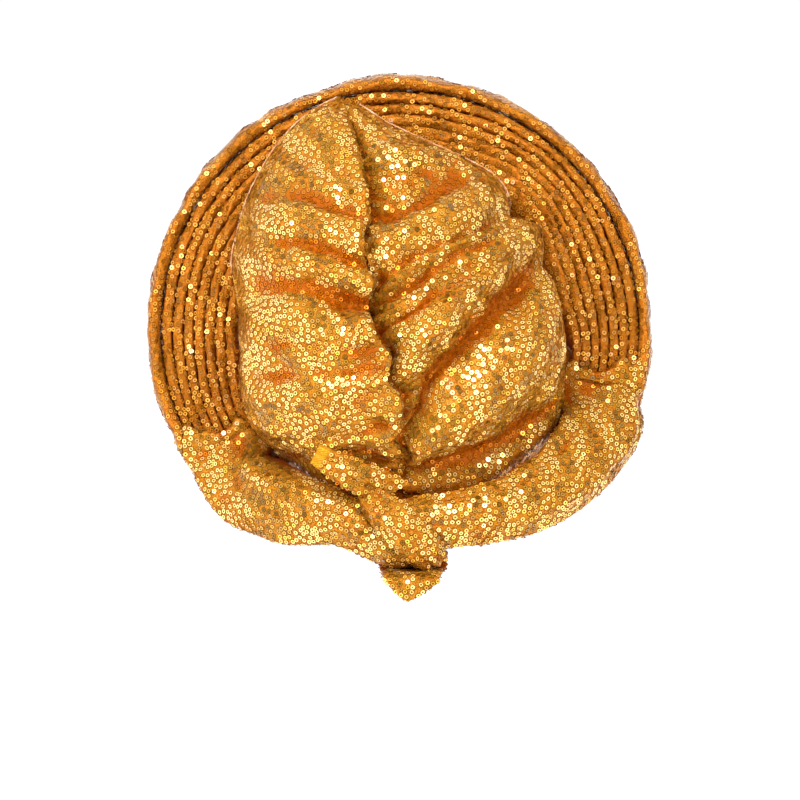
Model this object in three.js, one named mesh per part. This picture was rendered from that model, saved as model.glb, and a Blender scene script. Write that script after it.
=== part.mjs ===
// A tied gele head tie of sequinned cloth, worn with its pleats fanned over the head from ear to ear.
// Seen from behind: a ruched bag covers the back of the head, a ring of stacked pleats and an outer wrap
// stand round it, and the cloth's two ends are rolled round to the nape, where they are knotted.
// Millimetres, +Z up, +Y the way the wearer faces, +X to the wearer's right.
// The origin is the crown of the wearer's head, the point that the gele sits on.

import * as THREE from "three";

// The wearer's head, which the gele goes round.
const HEAD_WIDTH = 152;
const HEAD_LENGTH = 194;
const BROW_DROP = 34; // from the crown down to the cloth's edge on the forehead
const EAR_DROP = 100; // from the crown down to the ears

// The cloth.
const CLOTH = 1.2; // one layer of sequinned net on its backing
const SEAT = 0.5; // clearance where one piece rests on another

// The fan of pleats and the outer wrap round it.
const FAN_RADIUS = 157; // outer face of the wrap, from the fan's centre
const FAN_CENTRE_DROP = 42; // the fan's centre below the crown
const PLEAT_COUNT = 7;
const PLEAT_PITCH = 6.5; // from ridge to ridge behind
const PLEAT_GROOVE = 2.9; // between the layers on the two sides of a front groove
const WRAP_WIDTH = 9; // the wrap's thick fold, across the radius
const RING_BACK = 38; // the innermost ridge behind the crown point
const RIDGE_STEP = 2.2; // each ridge stands this much further forward than the one inside it
const FAN_FRONT = 26; // the fan's top edge in front of the crown point
const BROW_EASE = 6; // between the head's side and the cloth's edge
const CROWN_SAG = 32; // the innermost layer dips this far to lie on the crown
const BROW_BACK = 20; // the cloth's edge at the forehead, behind the foremost point of the head
const EAR_FRONT = 28; // the cloth's edge above the ears, in front of the crown point
const WRAP_FRONT = 27; // the wrap's front lip in front of the crown point

// Where the pleats are gathered together, behind the ears.
const LEFT_END = 217; // degrees round the fan's centre, from the wearer's right over the top
const RIGHT_END = -19;
const GATHER_ANGLE = 26; // the last stretch, over which the pleats close up
const GATHER_WIDTH = 39.5;
const GATHER_DEPTH = 22;
const GATHER_Y = -15;

// The bag over the back of the head, and the rolls and knot at the nape.
const BAG_SLACK = 22; // between the back of the head and the cloth
const BAG_SWELL = 18; // how far behind the ring the bag is widest
const BAG_TUCK = 0.4; // how far forward inside the ring its edge is tucked, as a share of the pleats' depth
const SEAM_WIDTH = 9; // half width of the furrow along the ruched seam
const SEAM_DEPTH = 16;
const FOLD_HEIGHT = 9; // the tallest fold that runs out from the seam
const MOUTH_WIDTH = 56; // a roll's open end, across the radius
const MOUTH_DEPTH = 38;
const MOUTH_LAP = 5; // degrees by which a roll's mouth laps over the pleats' end
const MOUTH_EASE = 2; // degrees before the mouth by which the pleats are fully gathered
const ROLL_WALL = 2.4; // two layers of cloth
const CREASE = 0.1; // depth of the rolls' creases, as a share of their half width
const KNOT_BACK = 5; // the knot's centre behind the back of the head
const KNOT_DROP = 163; // the knot's centre below the crown
const KNOT_SIDE = 4;
const KNOT_LONG = 24; // half the knot's loop, along its slant
const KNOT_DEEP = 15; // half the loop, front to back
const KNOT_BAND = 21; // width of the band that makes the loop
const KNOT_THICK = 5; // the band is a strip folded over on itself
const KNOT_RIB = 1.8; // how far the band's gathers stand out
const KNOT_SLANT = 26; // degrees that the loop's axis climbs to the wearer's right
const TAIL_THICK = 2.4; // two layers of cloth
const UPPER_TAIL_LENGTH = 43;
const UPPER_TAIL_WIDTH = 21;
const LOWER_TAIL_LENGTH = 44;
const LOWER_TAIL_WIDTH = 48;
const LOWER_TAIL_SIDE = 6; // the tail's middle, to the wearer's right of the knot's

// How finely the solids are faceted.
const FAN_STEPS = 27;
const WRAP_STEPS = 28;
const BAG_ROWS = 27;
const BAG_SIDE_COLUMNS = 12; // from an edge to the seam
const ROLL_SIDES = 16;
const ROLL_STEPS = 11;
const KNOT_STEPS = 18;

const rad = THREE.MathUtils.degToRad;
const lerp = THREE.MathUtils.lerp;
const vec = (x, y, z) => new THREE.Vector3(x, y, z);
const wrapInner = FAN_RADIUS - WRAP_WIDTH;
const ringInner = wrapInner - PLEAT_COUNT * PLEAT_PITCH;
const bagBack = HEAD_LENGTH / 2 + BAG_SLACK;
const lay = CLOTH + SEAT; // from the middle of one layer to the middle of the next, when they touch

function material(colour, roughness) {
  return new THREE.MeshStandardMaterial({ color: colour, roughness, metalness: 0.55, side: THREE.DoubleSide });
}

const materials = {
  crown: material(0xc8891f, 0.45),
  pleats: material(0xb9731a, 0.5),
  ties: material(0xcf9026, 0.45),
};

function smooth(share) {
  const x = THREE.MathUtils.clamp(share, 0, 1);
  return x * x * (3 - 2 * x);
}

function bump(distance, spread) {
  return Math.exp(-((distance / spread) ** 2));
}

// A point round the fan's centre, in the plane at depth y.
function round(radius, degrees, y) {
  return vec(
    radius * Math.cos(rad(degrees)),
    y,
    radius * Math.sin(rad(degrees)) - FAN_CENTRE_DROP,
  );
}

// A row of a table, smoothly between its given rows: share runs from 0 at the first to 1 at the last.
function rowAt(table, share) {
  const place = share * (table.length - 1);
  const i = Math.min(Math.floor(place), table.length - 2);
  const t = place - i;
  const value = (key, k) => table[THREE.MathUtils.clamp(k, 0, table.length - 1)][key];
  const blend = (key) => {
    const [a, b, c, d] = [i - 1, i, i + 1, i + 2].map((k) => value(key, k));
    const slopeIn = (c - a) / 2;
    const slopeOut = (d - b) / 2;
    return (2 * b - 2 * c + slopeIn + slopeOut) * t ** 3 + (3 * c - 3 * b - 2 * slopeIn - slopeOut) * t ** 2 + slopeIn * t + b;
  };
  return Object.fromEntries(Object.keys(table[0]).map((key) => [key, blend(key)]));
}

// The mesh's faces are turned over if they would face inwards.
function meshOf(name, vertices, faces, finish) {
  const signed = faces.reduce((sum, [a, b, c]) => sum + vertices[a].dot(vertices[b].clone().cross(vertices[c])), 0);
  if (signed < 0) faces.forEach((face) => face.reverse());
  const geometry = new THREE.BufferGeometry();
  geometry.setAttribute("position", new THREE.Float32BufferAttribute(vertices.flatMap((v) => v.toArray()), 3));
  geometry.setIndex(faces.flat());
  geometry.computeVertexNormals();
  const mesh = new THREE.Mesh(geometry, finish);
  mesh.name = name;
  return mesh;
}

// The direction of a line of points as it passes one of them: halfway between the ways in and out.
function passing(before, here, after) {
  const wayIn = before ? here.clone().sub(before).normalize() : vec(0, 0, 0);
  const wayOut = after ? after.clone().sub(here).normalize() : vec(0, 0, 0);
  return wayIn.add(wayOut);
}

// The normal of a grid of points at row i and column j.
function gridNormal(grid, i, j, closedRows) {
  const n = grid.length;
  const row = grid[i];
  const rowBefore = closedRows ? grid[(i + n - 1) % n] : grid[i - 1];
  const rowAfter = closedRows ? grid[(i + 1) % n] : grid[i + 1];
  const down = passing(rowBefore?.[j], row[j], rowAfter?.[j]);
  const across = passing(row[j - 1], row[j], row[j + 1]);
  return across.cross(down).normalize();
}

// A sheet of cloth: its middle surface is the grid, and its two faces lie half a thickness to each side.
// With closedRows the last row joins the first, as in a loop of band.
function clothSheet(name, grid, thickness, finish, closedRows = false) {
  const rows = grid.length;
  const columns = grid[0].length;
  const front = [];
  const back = [];
  grid.forEach((row, i) =>
    row.forEach((point, j) => {
      const half = gridNormal(grid, i, j, closedRows).multiplyScalar(thickness / 2);
      front.push(point.clone().add(half));
      back.push(point.clone().sub(half));
    }),
  );
  const total = rows * columns;
  const middle = grid.flat();
  const faces = [];
  const quad = (a, b, c, d) => faces.push([a, b, c], [a, c, d]);
  const at = (i, j) => (i % rows) * columns + j;
  const spans = closedRows ? rows : rows - 1;
  for (let i = 0; i < spans; i++) {
    for (let j = 0; j < columns - 1; j++) {
      // Each cell is cut from its rear corner on one row to its front corner on the next, so that layers
      // that lie close together are cut alike.
      const [a, b, c, d] = [at(i, j), at(i, j + 1), at(i + 1, j + 1), at(i + 1, j)];
      const cell = middle[a].y <= middle[b].y ? [a, b, c, d] : [b, c, d, a];
      quad(...cell);
      quad(total + cell[0], total + cell[3], total + cell[2], total + cell[1]);
    }
    quad(at(i, 0), at(i + 1, 0), total + at(i + 1, 0), total + at(i, 0));
    const j = columns - 1;
    quad(at(i, j), total + at(i, j), total + at(i + 1, j), at(i + 1, j));
  }
  if (!closedRows) {
    for (let j = 0; j < columns - 1; j++) {
      const i = rows - 1;
      quad(at(0, j), total + at(0, j), total + at(0, j + 1), at(0, j + 1));
      quad(at(i, j), at(i, j + 1), total + at(i, j + 1), total + at(i, j));
    }
  }
  return meshOf(name, [...front, ...back], faces, finish);
}

// A tube of cloth that is open at both ends. Each section is a loop of points round its own centre.
function clothTube(name, sections, wall, finish) {
  const sides = sections[0].loop.length;
  const outer = sections.flatMap((section) => section.loop);
  const inner = sections.flatMap(({ loop, centre }) =>
    loop.map((point) => {
      const out = point.clone().sub(centre);
      return centre.clone().addScaledVector(out, 1 - wall / out.length());
    }),
  );
  const total = outer.length;
  const faces = [];
  const quad = (a, b, c, d) => faces.push([a, b, c], [a, c, d]);
  const at = (i, j) => i * sides + (j % sides);
  for (let j = 0; j < sides; j++) {
    for (let i = 0; i < sections.length - 1; i++) {
      quad(at(i, j), at(i, j + 1), at(i + 1, j + 1), at(i + 1, j));
      quad(total + at(i, j), total + at(i + 1, j), total + at(i + 1, j + 1), total + at(i, j + 1));
    }
    const last = sections.length - 1;
    quad(at(0, j), total + at(0, j), total + at(0, j + 1), at(0, j + 1));
    quad(at(last, j), at(last, j + 1), total + at(last, j + 1), total + at(last, j));
  }
  return meshOf(name, [...outer, ...inner], faces, finish);
}

// The fan. A place in it is given by its layer, from 0 inside to PLEAT_COUNT at the wrap, by how far forward
// it is, from 0 at the back ridges to 1 at the front folds, and by its angle round the fan's centre.

// The ring's ridges are squeezed together at one corner, behind the wearer's right.
const corner = { angle: 47, spread: 17, squeeze: 0.2 };

function pitchAt(angle) {
  return PLEAT_PITCH * (1 - corner.squeeze * bump(angle - corner.angle, corner.spread));
}

function ridgeDepth(layer) {
  return -(RING_BACK - layer * RIDGE_STEP);
}

function backPoint(layer, angle) {
  return round(wrapInner - (PLEAT_COUNT - layer) * pitchAt(angle), angle, ridgeDepth(layer));
}

function frontPoint(layer, angle) {
  const rise = Math.sin(rad(angle));
  const temple = HEAD_WIDTH / 2 + BROW_EASE;
  const browY = lerp(EAR_FRONT, HEAD_LENGTH / 2 - BROW_BACK, rise);
  const brow = vec(temple * Math.cos(rad(angle)), browY, -EAR_DROP + (EAR_DROP - BROW_DROP) * rise);
  const top = round(wrapInner - lay, angle, FAN_FRONT * (0.6 + 0.4 * rise));
  return brow.lerp(top, layer / PLEAT_COUNT);
}

function gatherPoint(layer, forward, angle) {
  const radius = wrapInner - (1 - layer / PLEAT_COUNT) * GATHER_WIDTH;
  return round(radius, angle, GATHER_Y + (forward - 0.5) * GATHER_DEPTH);
}

function gathered(angle) {
  const fromMouth = Math.min(LEFT_END - angle, angle - RIGHT_END) - MOUTH_LAP - MOUTH_EASE;
  return smooth(1 - fromMouth / GATHER_ANGLE);
}

function fanPoint(layer, forward, angle) {
  const point = backPoint(layer, angle).lerp(frontPoint(layer, angle), forward);
  const rise = Math.max(0, Math.sin(rad(angle)));
  const dip = (forward * (1 - forward) ** 4) / 0.0819; // 1 at its deepest, a fifth of the way forward
  const sag = CROWN_SAG * rise ** 2 * Math.max(0, 1 - layer / PLEAT_COUNT) ** 2.5 * dip;
  point.addScaledVector(round(1, angle, 0).sub(round(0, angle, 0)), -sag);
  return point.lerp(gatherPoint(layer, forward, angle), gathered(angle));
}

// Half the width of a front fold, in layers: the folds fill the front but for a groove between each two.
function frontHalf(layer, angle) {
  const pitch = fanPoint(layer + 0.5, 1, angle).distanceTo(fanPoint(layer - 0.5, 1, angle));
  return Math.max(0.2, 0.5 - PLEAT_GROOVE / (2 * pitch));
}

const RIDGE_HALF = 0.3; // half the width of a back ridge, in layers
const RIDGE_ROUND = 0.05; // how far forward a ridge's rounding starts
const FOLD_ROUND = 0.03;
const BROW_LAYER = 0.1; // the cloth's edge at the forehead

// The zigzag of one section of the fan, from the forehead edge to the last front fold.
function pleatSection(angle) {
  const at = (layer, forward) => fanPoint(layer, forward, angle);
  const path = [1, 0.74, 0.5, 0.32, 0.16].map((forward) =>
    at(lerp(0.5 - RIDGE_HALF, BROW_LAYER, forward), forward),
  );
  for (let pleat = 0; pleat < PLEAT_COUNT; pleat++) {
    const ridge = pleat + 0.5;
    const fold = pleat + 1;
    const half = frontHalf(fold, angle);
    path.push(at(ridge - RIDGE_HALF, RIDGE_ROUND), at(ridge, 0), at(ridge + RIDGE_HALF, RIDGE_ROUND));
    if (pleat === 0) path.push(...[0.2, 0.5].map((w) => at(lerp(ridge + RIDGE_HALF, fold - half, w), w)));
    path.push(at(fold - half, 1 - FOLD_ROUND));
    if (pleat === PLEAT_COUNT - 1) break;
    path.push(at(fold, 1), at(fold + half, 1 - FOLD_ROUND));
    if (pleat === 0) path.push(...[0.5, 0.2].map((w) => at(lerp(ridge + 1 - RIDGE_HALF, fold + half, w), w)));
  }
  return path;
}

function pleatedFan() {
  const grid = Array.from({ length: FAN_STEPS + 1 }, (_, i) =>
    pleatSection(lerp(LEFT_END, RIGHT_END, i / FAN_STEPS)),
  );
  return clothSheet("pleated_fan", grid, CLOTH, materials.pleats);
}

// The outer wrap's section: inset is a share of WRAP_WIDTH in from the outer face, and along is a share of
// the way from the back of the thick fold, 0, to the front lip, 1.
const wrapSection = [
  { inset: 1.0, along: 0.4 },
  { inset: 1.0, along: 0.16 },
  { inset: 0.78, along: 0.04 },
  { inset: 0.42, along: 0.0 },
  { inset: 0.14, along: 0.05 },
  { inset: 0.0, along: 0.22 },
  { inset: 0.04, along: 0.6 },
  { inset: 0.4, along: 0.88 },
  { inset: 0.95, along: 1.0 },
  { inset: 1.75, along: 0.96 },
];

function outerWrap() {
  const back = ridgeDepth(PLEAT_COUNT) - CLOTH;
  const lipAngle = (2 * SEAT) / FAN_RADIUS / rad(1);
  const from = LEFT_END - MOUTH_LAP - lipAngle;
  const to = RIGHT_END + MOUTH_LAP + lipAngle;
  const grid = Array.from({ length: WRAP_STEPS + 1 }, (_, i) => {
    const angle = lerp(from, to, i / WRAP_STEPS);
    const close = gathered(angle);
    return wrapSection.map(({ inset, along }) => {
      const open = lerp(back, WRAP_FRONT, along);
      const closed = GATHER_Y + (along - 0.5) * MOUTH_DEPTH * 0.8;
      return round(FAN_RADIUS - CLOTH / 2 - inset * (WRAP_WIDTH - CLOTH), angle, lerp(open, closed, close));
    });
  });
  return clothSheet("outer_wrap", grid, CLOTH, materials.pleats);
}

// The bag over the back of the head. Each row runs from its left edge over the seam to its right edge.
// An edge is placed by its angle round the fan's centre and its reach, a share of the ring's inner radius.
// Where tuck is 0 the edge lies on the ridges, and where it is 1 it is tucked inside the ring and the bag
// swells out behind it, as wide as swell, another share of the ring's inner radius, and as far behind the
// ring as behind, a share of BAG_SWELL. Bow is how far the row hangs below a straight line, halfway to the
// seam.
// The seam's across and up are shares of the ring's inner radius too, from the fan's centre. Its back is a
// share of the way from the crown point to the back of the bag, and furrow is a share of SEAM_DEPTH.
// Where turn is above 1 the cloth turns back more slowly from its edge.
const bagLeft = [
  { angle: 105.2, reach: 1.43, swell: 1.43, tuck: 0, behind: 1, bow: 0 },
  { angle: 114, reach: 1.385, swell: 1.385, tuck: 0, behind: 1, bow: 0 },
  { angle: 124, reach: 1.32, swell: 1.32, tuck: 0, behind: 1, bow: 0 },
  { angle: 133, reach: 1.25, swell: 1.25, tuck: 0, behind: 1, bow: 0 },
  { angle: 141.5, reach: 1.18, swell: 1.18, tuck: 0, behind: 1, bow: 0 },
  { angle: 149, reach: 1.13, swell: 1.13, tuck: 0, behind: 1, bow: 0 },
  { angle: 157, reach: 1.05, swell: 1.07, tuck: 0, behind: 1, bow: 0 },
  { angle: 168, reach: 0.955, swell: 1.0, tuck: 0.2, behind: 1, bow: 0 },
  { angle: 181, reach: 0.955, swell: 0.96, tuck: 0.9, behind: 1, bow: 0 },
  { angle: 193, reach: 0.955, swell: 0.99, tuck: 1, behind: 1, bow: 0.02 },
  { angle: 204, reach: 0.955, swell: 1.03, tuck: 1, behind: 1, bow: 0.05 },
  { angle: 213, reach: 0.955, swell: 1.05, tuck: 1, behind: 1, bow: 0.08 },
  { angle: 219, reach: 0.965, swell: 1.05, tuck: 1, behind: 1, bow: 0.03 },
  { angle: 224, reach: 0.99, swell: 1.02, tuck: 1, behind: 0.7, bow: 0.07 },
  { angle: 228, reach: 1.02, swell: 1.02, tuck: 1, behind: -0.3, bow: 0.14 },
];
const bagRight = [
  { angle: 99.5, reach: 1.42, swell: 1.42, tuck: 0, behind: 1, bow: 0 },
  { angle: 91.5, reach: 1.325, swell: 1.325, tuck: 0, behind: 1, bow: 0 },
  { angle: 80, reach: 1.23, swell: 1.23, tuck: 0, behind: 1, bow: 0 },
  { angle: 68.5, reach: 1.16, swell: 1.16, tuck: 0, behind: 1, bow: 0 },
  { angle: 57.5, reach: 1.13, swell: 1.13, tuck: 0, behind: 1, bow: 0 },
  { angle: 49.5, reach: 1.12, swell: 1.12, tuck: 0, behind: 1, bow: 0 },
  { angle: 44.5, reach: 1.1, swell: 1.1, tuck: 0, behind: 1, bow: 0 },
  { angle: 39, reach: 1.06, swell: 1.08, tuck: 0, behind: 1, bow: 0 },
  { angle: 32, reach: 0.97, swell: 1.05, tuck: 0.1, behind: 1, bow: 0 },
  { angle: 24, reach: 0.955, swell: 1.03, tuck: 0.5, behind: 1, bow: 0.02 },
  { angle: 14, reach: 0.955, swell: 1.0, tuck: 1, behind: 1, bow: 0.05 },
  { angle: 2, reach: 0.955, swell: 1.0, tuck: 1, behind: 1, bow: 0.08 },
  { angle: -11, reach: 0.965, swell: 1.06, tuck: 1, behind: 1, bow: 0.08 },
  { angle: -24, reach: 1.0, swell: 1.085, tuck: 1, behind: 0.8, bow: 0.15 },
  { angle: -35, reach: 1.12, swell: 1.1, tuck: 1, behind: -0.3, bow: 0.24 },
];
const bagSeam = [
  { across: -0.31, up: 1.385, back: 0.22, furrow: 0.1, turn: 1 },
  { across: -0.3, up: 1.32, back: 0.37, furrow: 0.4, turn: 1 },
  { across: -0.28, up: 1.19, back: 0.51, furrow: 0.6, turn: 1 },
  { across: -0.26, up: 1.01, back: 0.66, furrow: 0.8, turn: 1 },
  { across: -0.23, up: 0.82, back: 0.8, furrow: 0.9, turn: 1 },
  { across: -0.2, up: 0.64, back: 0.89, furrow: 0.9, turn: 1 },
  { across: -0.18, up: 0.46, back: 0.95, furrow: 1, turn: 1 },
  { across: -0.16, up: 0.26, back: 0.98, furrow: 1, turn: 1 },
  { across: -0.17, up: 0.07, back: 1.0, furrow: 1, turn: 1 },
  { across: -0.08, up: -0.13, back: 1.0, furrow: 0.9, turn: 1 },
  { across: -0.04, up: -0.32, back: 0.99, furrow: 0.9, turn: 1 },
  { across: 0.0, up: -0.5, back: 0.96, furrow: 0.8, turn: 1 },
  { across: 0.01, up: -0.68, back: 0.89, furrow: 0.5, turn: 1 },
  { across: 0.02, up: -0.8, back: 0.78, furrow: 0.2, turn: 1.3 },
  { across: 0.03, up: -1.0, back: 0.7, furrow: 0, turn: 1.8 },
];

// The folds that run out from the seam. Side is -1 to the wearer's left and 1 to the right. From and to are
// the fold's places down the bag, at the seam and at the edge, and spread is its half width, as shares of the
// bag's height. Rise is a share of FOLD_HEIGHT, below 0 for a furrow.
const bagFolds = [
  { side: -1, from: 0.36, to: 0.27, rise: -0.5, spread: 0.035 },
  { side: -1, from: 0.42, to: 0.35, rise: 0.5, spread: 0.04 },
  { side: -1, from: 0.5, to: 0.44, rise: -0.9, spread: 0.035 },
  { side: -1, from: 0.58, to: 0.6, rise: 0.9, spread: 0.07 },
  { side: -1, from: 0.71, to: 0.76, rise: 0.5, spread: 0.07 },
  { side: 1, from: 0.2, to: 0.19, rise: 0.5, spread: 0.06 },
  { side: 1, from: 0.34, to: 0.33, rise: -0.7, spread: 0.04 },
  { side: 1, from: 0.46, to: 0.42, rise: 0.8, spread: 0.045 },
  { side: 1, from: 0.56, to: 0.53, rise: -0.9, spread: 0.04 },
  { side: 1, from: 0.65, to: 0.62, rise: 0.8, spread: 0.045 },
  { side: 1, from: 0.77, to: 0.69, rise: -0.7, spread: 0.04 },
  { side: 1, from: 0.87, to: 0.78, rise: 0.8, spread: 0.05 },
  { side: 1, from: 0.95, to: 0.9, rise: -0.5, spread: 0.04 },
];

// The middle of the cloth where it lies on the ridges, at a radius round the fan's centre.
function onRidges(radius, angle) {
  const layer = PLEAT_COUNT - (wrapInner - radius) / pitchAt(angle);
  return round(radius, angle, ridgeDepth(layer) - lay - SEAT);
}

// From a base at the bag's edge the cloth leaves straight back, and it turns over to lie flat at the crest.
function arcPoint(base, crest, bow, turn, u) {
  const lateral = 1 - Math.cos((u * Math.PI) / 2);
  const point = base.clone().lerp(crest, lateral);
  point.y = lerp(base.y, crest.y, Math.sin((u * Math.PI) / 2) ** turn);
  point.z -= bow * ringInner * Math.sin(lateral * Math.PI);
  return point;
}

// One side of a row of the bag, from its edge to the seam.
function bagSide(edge, seam) {
  const crest = vec(seam.across * ringInner, -seam.back * bagBack, seam.up * ringInner - FAN_CENTRE_DROP);
  const laid = onRidges(edge.reach * ringInner, edge.angle);
  const swollen = round(edge.swell * ringInner, edge.angle, -RING_BACK - edge.behind * BAG_SWELL);
  const waistDepth = lerp(BAG_SWELL / 2, -2 * lay, edge.behind) - RING_BACK;
  const waist = round(edge.reach * ringInner, edge.angle, waistDepth);
  const insideLayer = 0.5 - RIDGE_HALF - (1.2 * lay) / pitchAt(edge.angle);
  const lining = fanPoint(insideLayer, BAG_TUCK, edge.angle);
  const liningRadius = Math.hypot(lining.x, lining.z + FAN_CENTRE_DROP);
  const tucked = round(0, 0, lining.y).lerp(lining, Math.min(1, (edge.reach * ringInner) / liningRadius));
  return Array.from({ length: BAG_SIDE_COLUMNS + 1 }, (_, j) => {
    const laidShare = 1 - (1 - j / BAG_SIDE_COLUMNS) ** 1.5;
    const swollenShare = 1 - (1 - Math.max(0, j - 2) / (BAG_SIDE_COLUMNS - 2)) ** 1.5;
    const onLaid = arcPoint(laid, crest, edge.bow, seam.turn, laidShare);
    const onTucked = [tucked, waist][j] ?? arcPoint(swollen, crest, edge.bow, seam.turn, swollenShare);
    return onLaid.lerp(onTucked, smooth(edge.tuck));
  });
}

// How far a point of the bag is lifted by the folds: q runs from 0 at the edge to 1 at the seam.
function foldLift(side, share, q) {
  const fade = smooth(q / 0.4) * (1 - 0.6 * smooth((q - 0.8) / 0.2));
  return bagFolds
    .filter((fold) => fold.side === side)
    .reduce((sum, { from, to, rise, spread }) => sum + rise * bump(share - lerp(to, from, q), spread), 0) *
    fade * FOLD_HEIGHT;
}

function crownBag() {
  const heart = vec(0, -RING_BACK + BAG_SWELL, -FAN_CENTRE_DROP);
  const grid = Array.from({ length: BAG_ROWS + 1 }, (_, i) => {
    const share = i / BAG_ROWS;
    const seam = rowAt(bagSeam, share);
    const finished = (edges, side) => {
      const points = bagSide(rowAt(edges, share), seam);
      const crest = points.at(-1).clone();
      return points.map((point, j) => {
        const out = point.clone().sub(heart).normalize();
        point.addScaledVector(out, foldLift(side, share, j / BAG_SIDE_COLUMNS));
        const fromSeam = Math.hypot(point.x - crest.x, point.z - crest.z);
        point.y += seam.furrow * SEAM_DEPTH * bump(fromSeam, SEAM_WIDTH);
        return point;
      });
    };
    const right = finished(bagRight, 1).reverse();
    return [...finished(bagLeft, -1), ...right.slice(1)];
  });
  return clothSheet("crown_bag", grid, CLOTH, materials.crown);
}

// The knot's loop: its axis climbs to the wearer's right, and its long direction runs down to the right.
const knotCentre = vec(KNOT_SIDE, -HEAD_LENGTH / 2 - KNOT_BACK, -KNOT_DROP);
const knotAxis = vec(Math.cos(rad(KNOT_SLANT)), 0, Math.sin(rad(KNOT_SLANT)));
const knotLong = vec(Math.sin(rad(KNOT_SLANT)), 0, -Math.cos(rad(KNOT_SLANT)));
const knotBack = vec(0, -1, 0);
const knotReach = KNOT_THICK / 2 + KNOT_RIB; // from the middle of the loop's band to its outer face

// How high the band's ribs stand, as shares of KNOT_RIB, across its width.
const knotRibs = [0, 1, 0.1, 0.9, 0.1, 1, 0];

function napeKnot() {
  const grid = Array.from({ length: KNOT_STEPS }, (_, i) => {
    const turn = (i / KNOT_STEPS) * 2 * Math.PI;
    const flare = 1 + 0.2 * Math.max(0, Math.sin(turn));
    return knotRibs.map((rib, j) => {
      const across = (j / (knotRibs.length - 1) - 0.5) * KNOT_BAND * flare;
      return knotCentre.clone()
        .addScaledVector(knotLong, (KNOT_LONG + rib * KNOT_RIB) * Math.cos(turn))
        .addScaledVector(knotBack, (KNOT_DEEP + rib * KNOT_RIB) * Math.sin(turn))
        .addScaledVector(knotAxis, across);
    });
  });
  return clothSheet("nape_knot", grid, KNOT_THICK, materials.ties, true);
}

// The rolls, from the mouth that laps over the pleats' end to the knot. Past is in degrees from the mouth,
// round the fan's centre. Out is where the roll's outer edge lies, as a share of FAN_RADIUS, and back is a
// share of the way back to the knot.
// Width and depth are shares of the mouth's, and square says how square the section is: 2 is an ellipse.
const leftRoll = [
  { past: 0, out: 1, back: 0, width: 1, depth: 1, square: 3.4 },
  { past: 5.5, out: 1.007, back: 0.05, width: 1, depth: 0.96, square: 3.2 },
  { past: 14, out: 1.02, back: 0.3, width: 0.93, depth: 0.88, square: 2.6 },
  { past: 25, out: 0.96, back: 0.65, width: 0.82, depth: 0.78, square: 2.3 },
  { past: 38, out: 0.87, back: 0.88, width: 0.6, depth: 0.67, square: 2.1 },
  { past: 46, out: 0.87, back: 0.95, width: 0.55, depth: 0.62, square: 2 },
];
const rightRoll = [
  { past: 0, out: 1, back: 0, width: 1, depth: 1, square: 3.4 },
  { past: 5.5, out: 1.007, back: 0.04, width: 1, depth: 0.96, square: 3.2 },
  { past: 14, out: 1.035, back: 0.29, width: 0.9, depth: 0.9, square: 2.6 },
  { past: 28, out: 1, back: 0.6, width: 0.8, depth: 0.78, square: 2.3 },
  { past: 44, out: 0.925, back: 0.83, width: 0.68, depth: 0.7, square: 2.1 },
  { past: 58, out: 0.865, back: 0.95, width: 0.6, depth: 0.62, square: 2 },
];

function clothRoll(name, rows, side) {
  const mouthAngle = side < 0 ? LEFT_END - MOUTH_LAP : RIGHT_END + MOUTH_LAP;
  const stations = rows.map(({ past, out, back, width, depth, square }) => {
    const radius = out * FAN_RADIUS - (width * MOUTH_WIDTH) / 2;
    const point = round(radius, mouthAngle - side * past, lerp(GATHER_Y, knotCentre.y, back));
    return { x: point.x, y: point.y, z: point.z, width: width * MOUTH_WIDTH, depth: depth * MOUTH_DEPTH, square };
  });
  // Inside the knot's loop the roll fills the hole but for the clearance, and ends just short of the other.
  const holeWidth = 2 * (KNOT_LONG - KNOT_THICK / 2 - SEAT);
  const holeDepth = 2 * (KNOT_DEEP - KNOT_THICK / 2 - SEAT);
  const inHole = [
    { distance: KNOT_BAND * 0.65, fill: 0.82 },
    { distance: SEAT / 2, fill: 1 },
  ];
  inHole.forEach(({ distance, fill }) => {
    const { x, y, z } = knotCentre.clone().addScaledVector(knotAxis, side * distance);
    stations.push({ x, y, z, width: holeWidth * fill, depth: holeDepth * fill, square: 2 });
  });
  const centreAt = (share) => {
    const row = rowAt(stations, share);
    return vec(row.x, row.y, row.z);
  };
  const sections = Array.from({ length: ROLL_STEPS + 1 }, (_, i) => {
    const share = i / ROLL_STEPS;
    const row = rowAt(stations, share);
    const centre = centreAt(share);
    const along = centreAt(Math.min(1, share + 0.01)).sub(centreAt(Math.max(0, share - 0.01))).normalize();
    if (i === 0) along.copy(round(1, mouthAngle + 90, 0)).sub(round(0, 0, 0)).multiplyScalar(-side);
    along.lerp(knotAxis.clone().multiplyScalar(-side), smooth((share - 0.55) / 0.4)).normalize();
    const deep = knotBack.clone().addScaledVector(along, -knotBack.dot(along)).normalize();
    const wide = along.clone().cross(deep);
    const creased = CREASE * Math.sin(share * Math.PI) ** 0.5;
    const loop = Array.from({ length: ROLL_SIDES }, (_, k) => {
      const turn = (k / ROLL_SIDES) * 2 * Math.PI;
      const bend = (value) => Math.sign(value) * Math.abs(value) ** (2 / row.square);
      const relief = 1 - creased * (0.5 + 0.5 * Math.cos(4 * turn + 5 * share));
      return centre.clone()
        .addScaledVector(wide, (row.width / 2) * bend(Math.cos(turn)) * relief)
        .addScaledVector(deep, (row.depth / 2) * bend(Math.sin(turn)) * relief);
    });
    return { loop, centre };
  });
  return clothTube(name, sections, ROLL_WALL, materials.ties);
}

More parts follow.
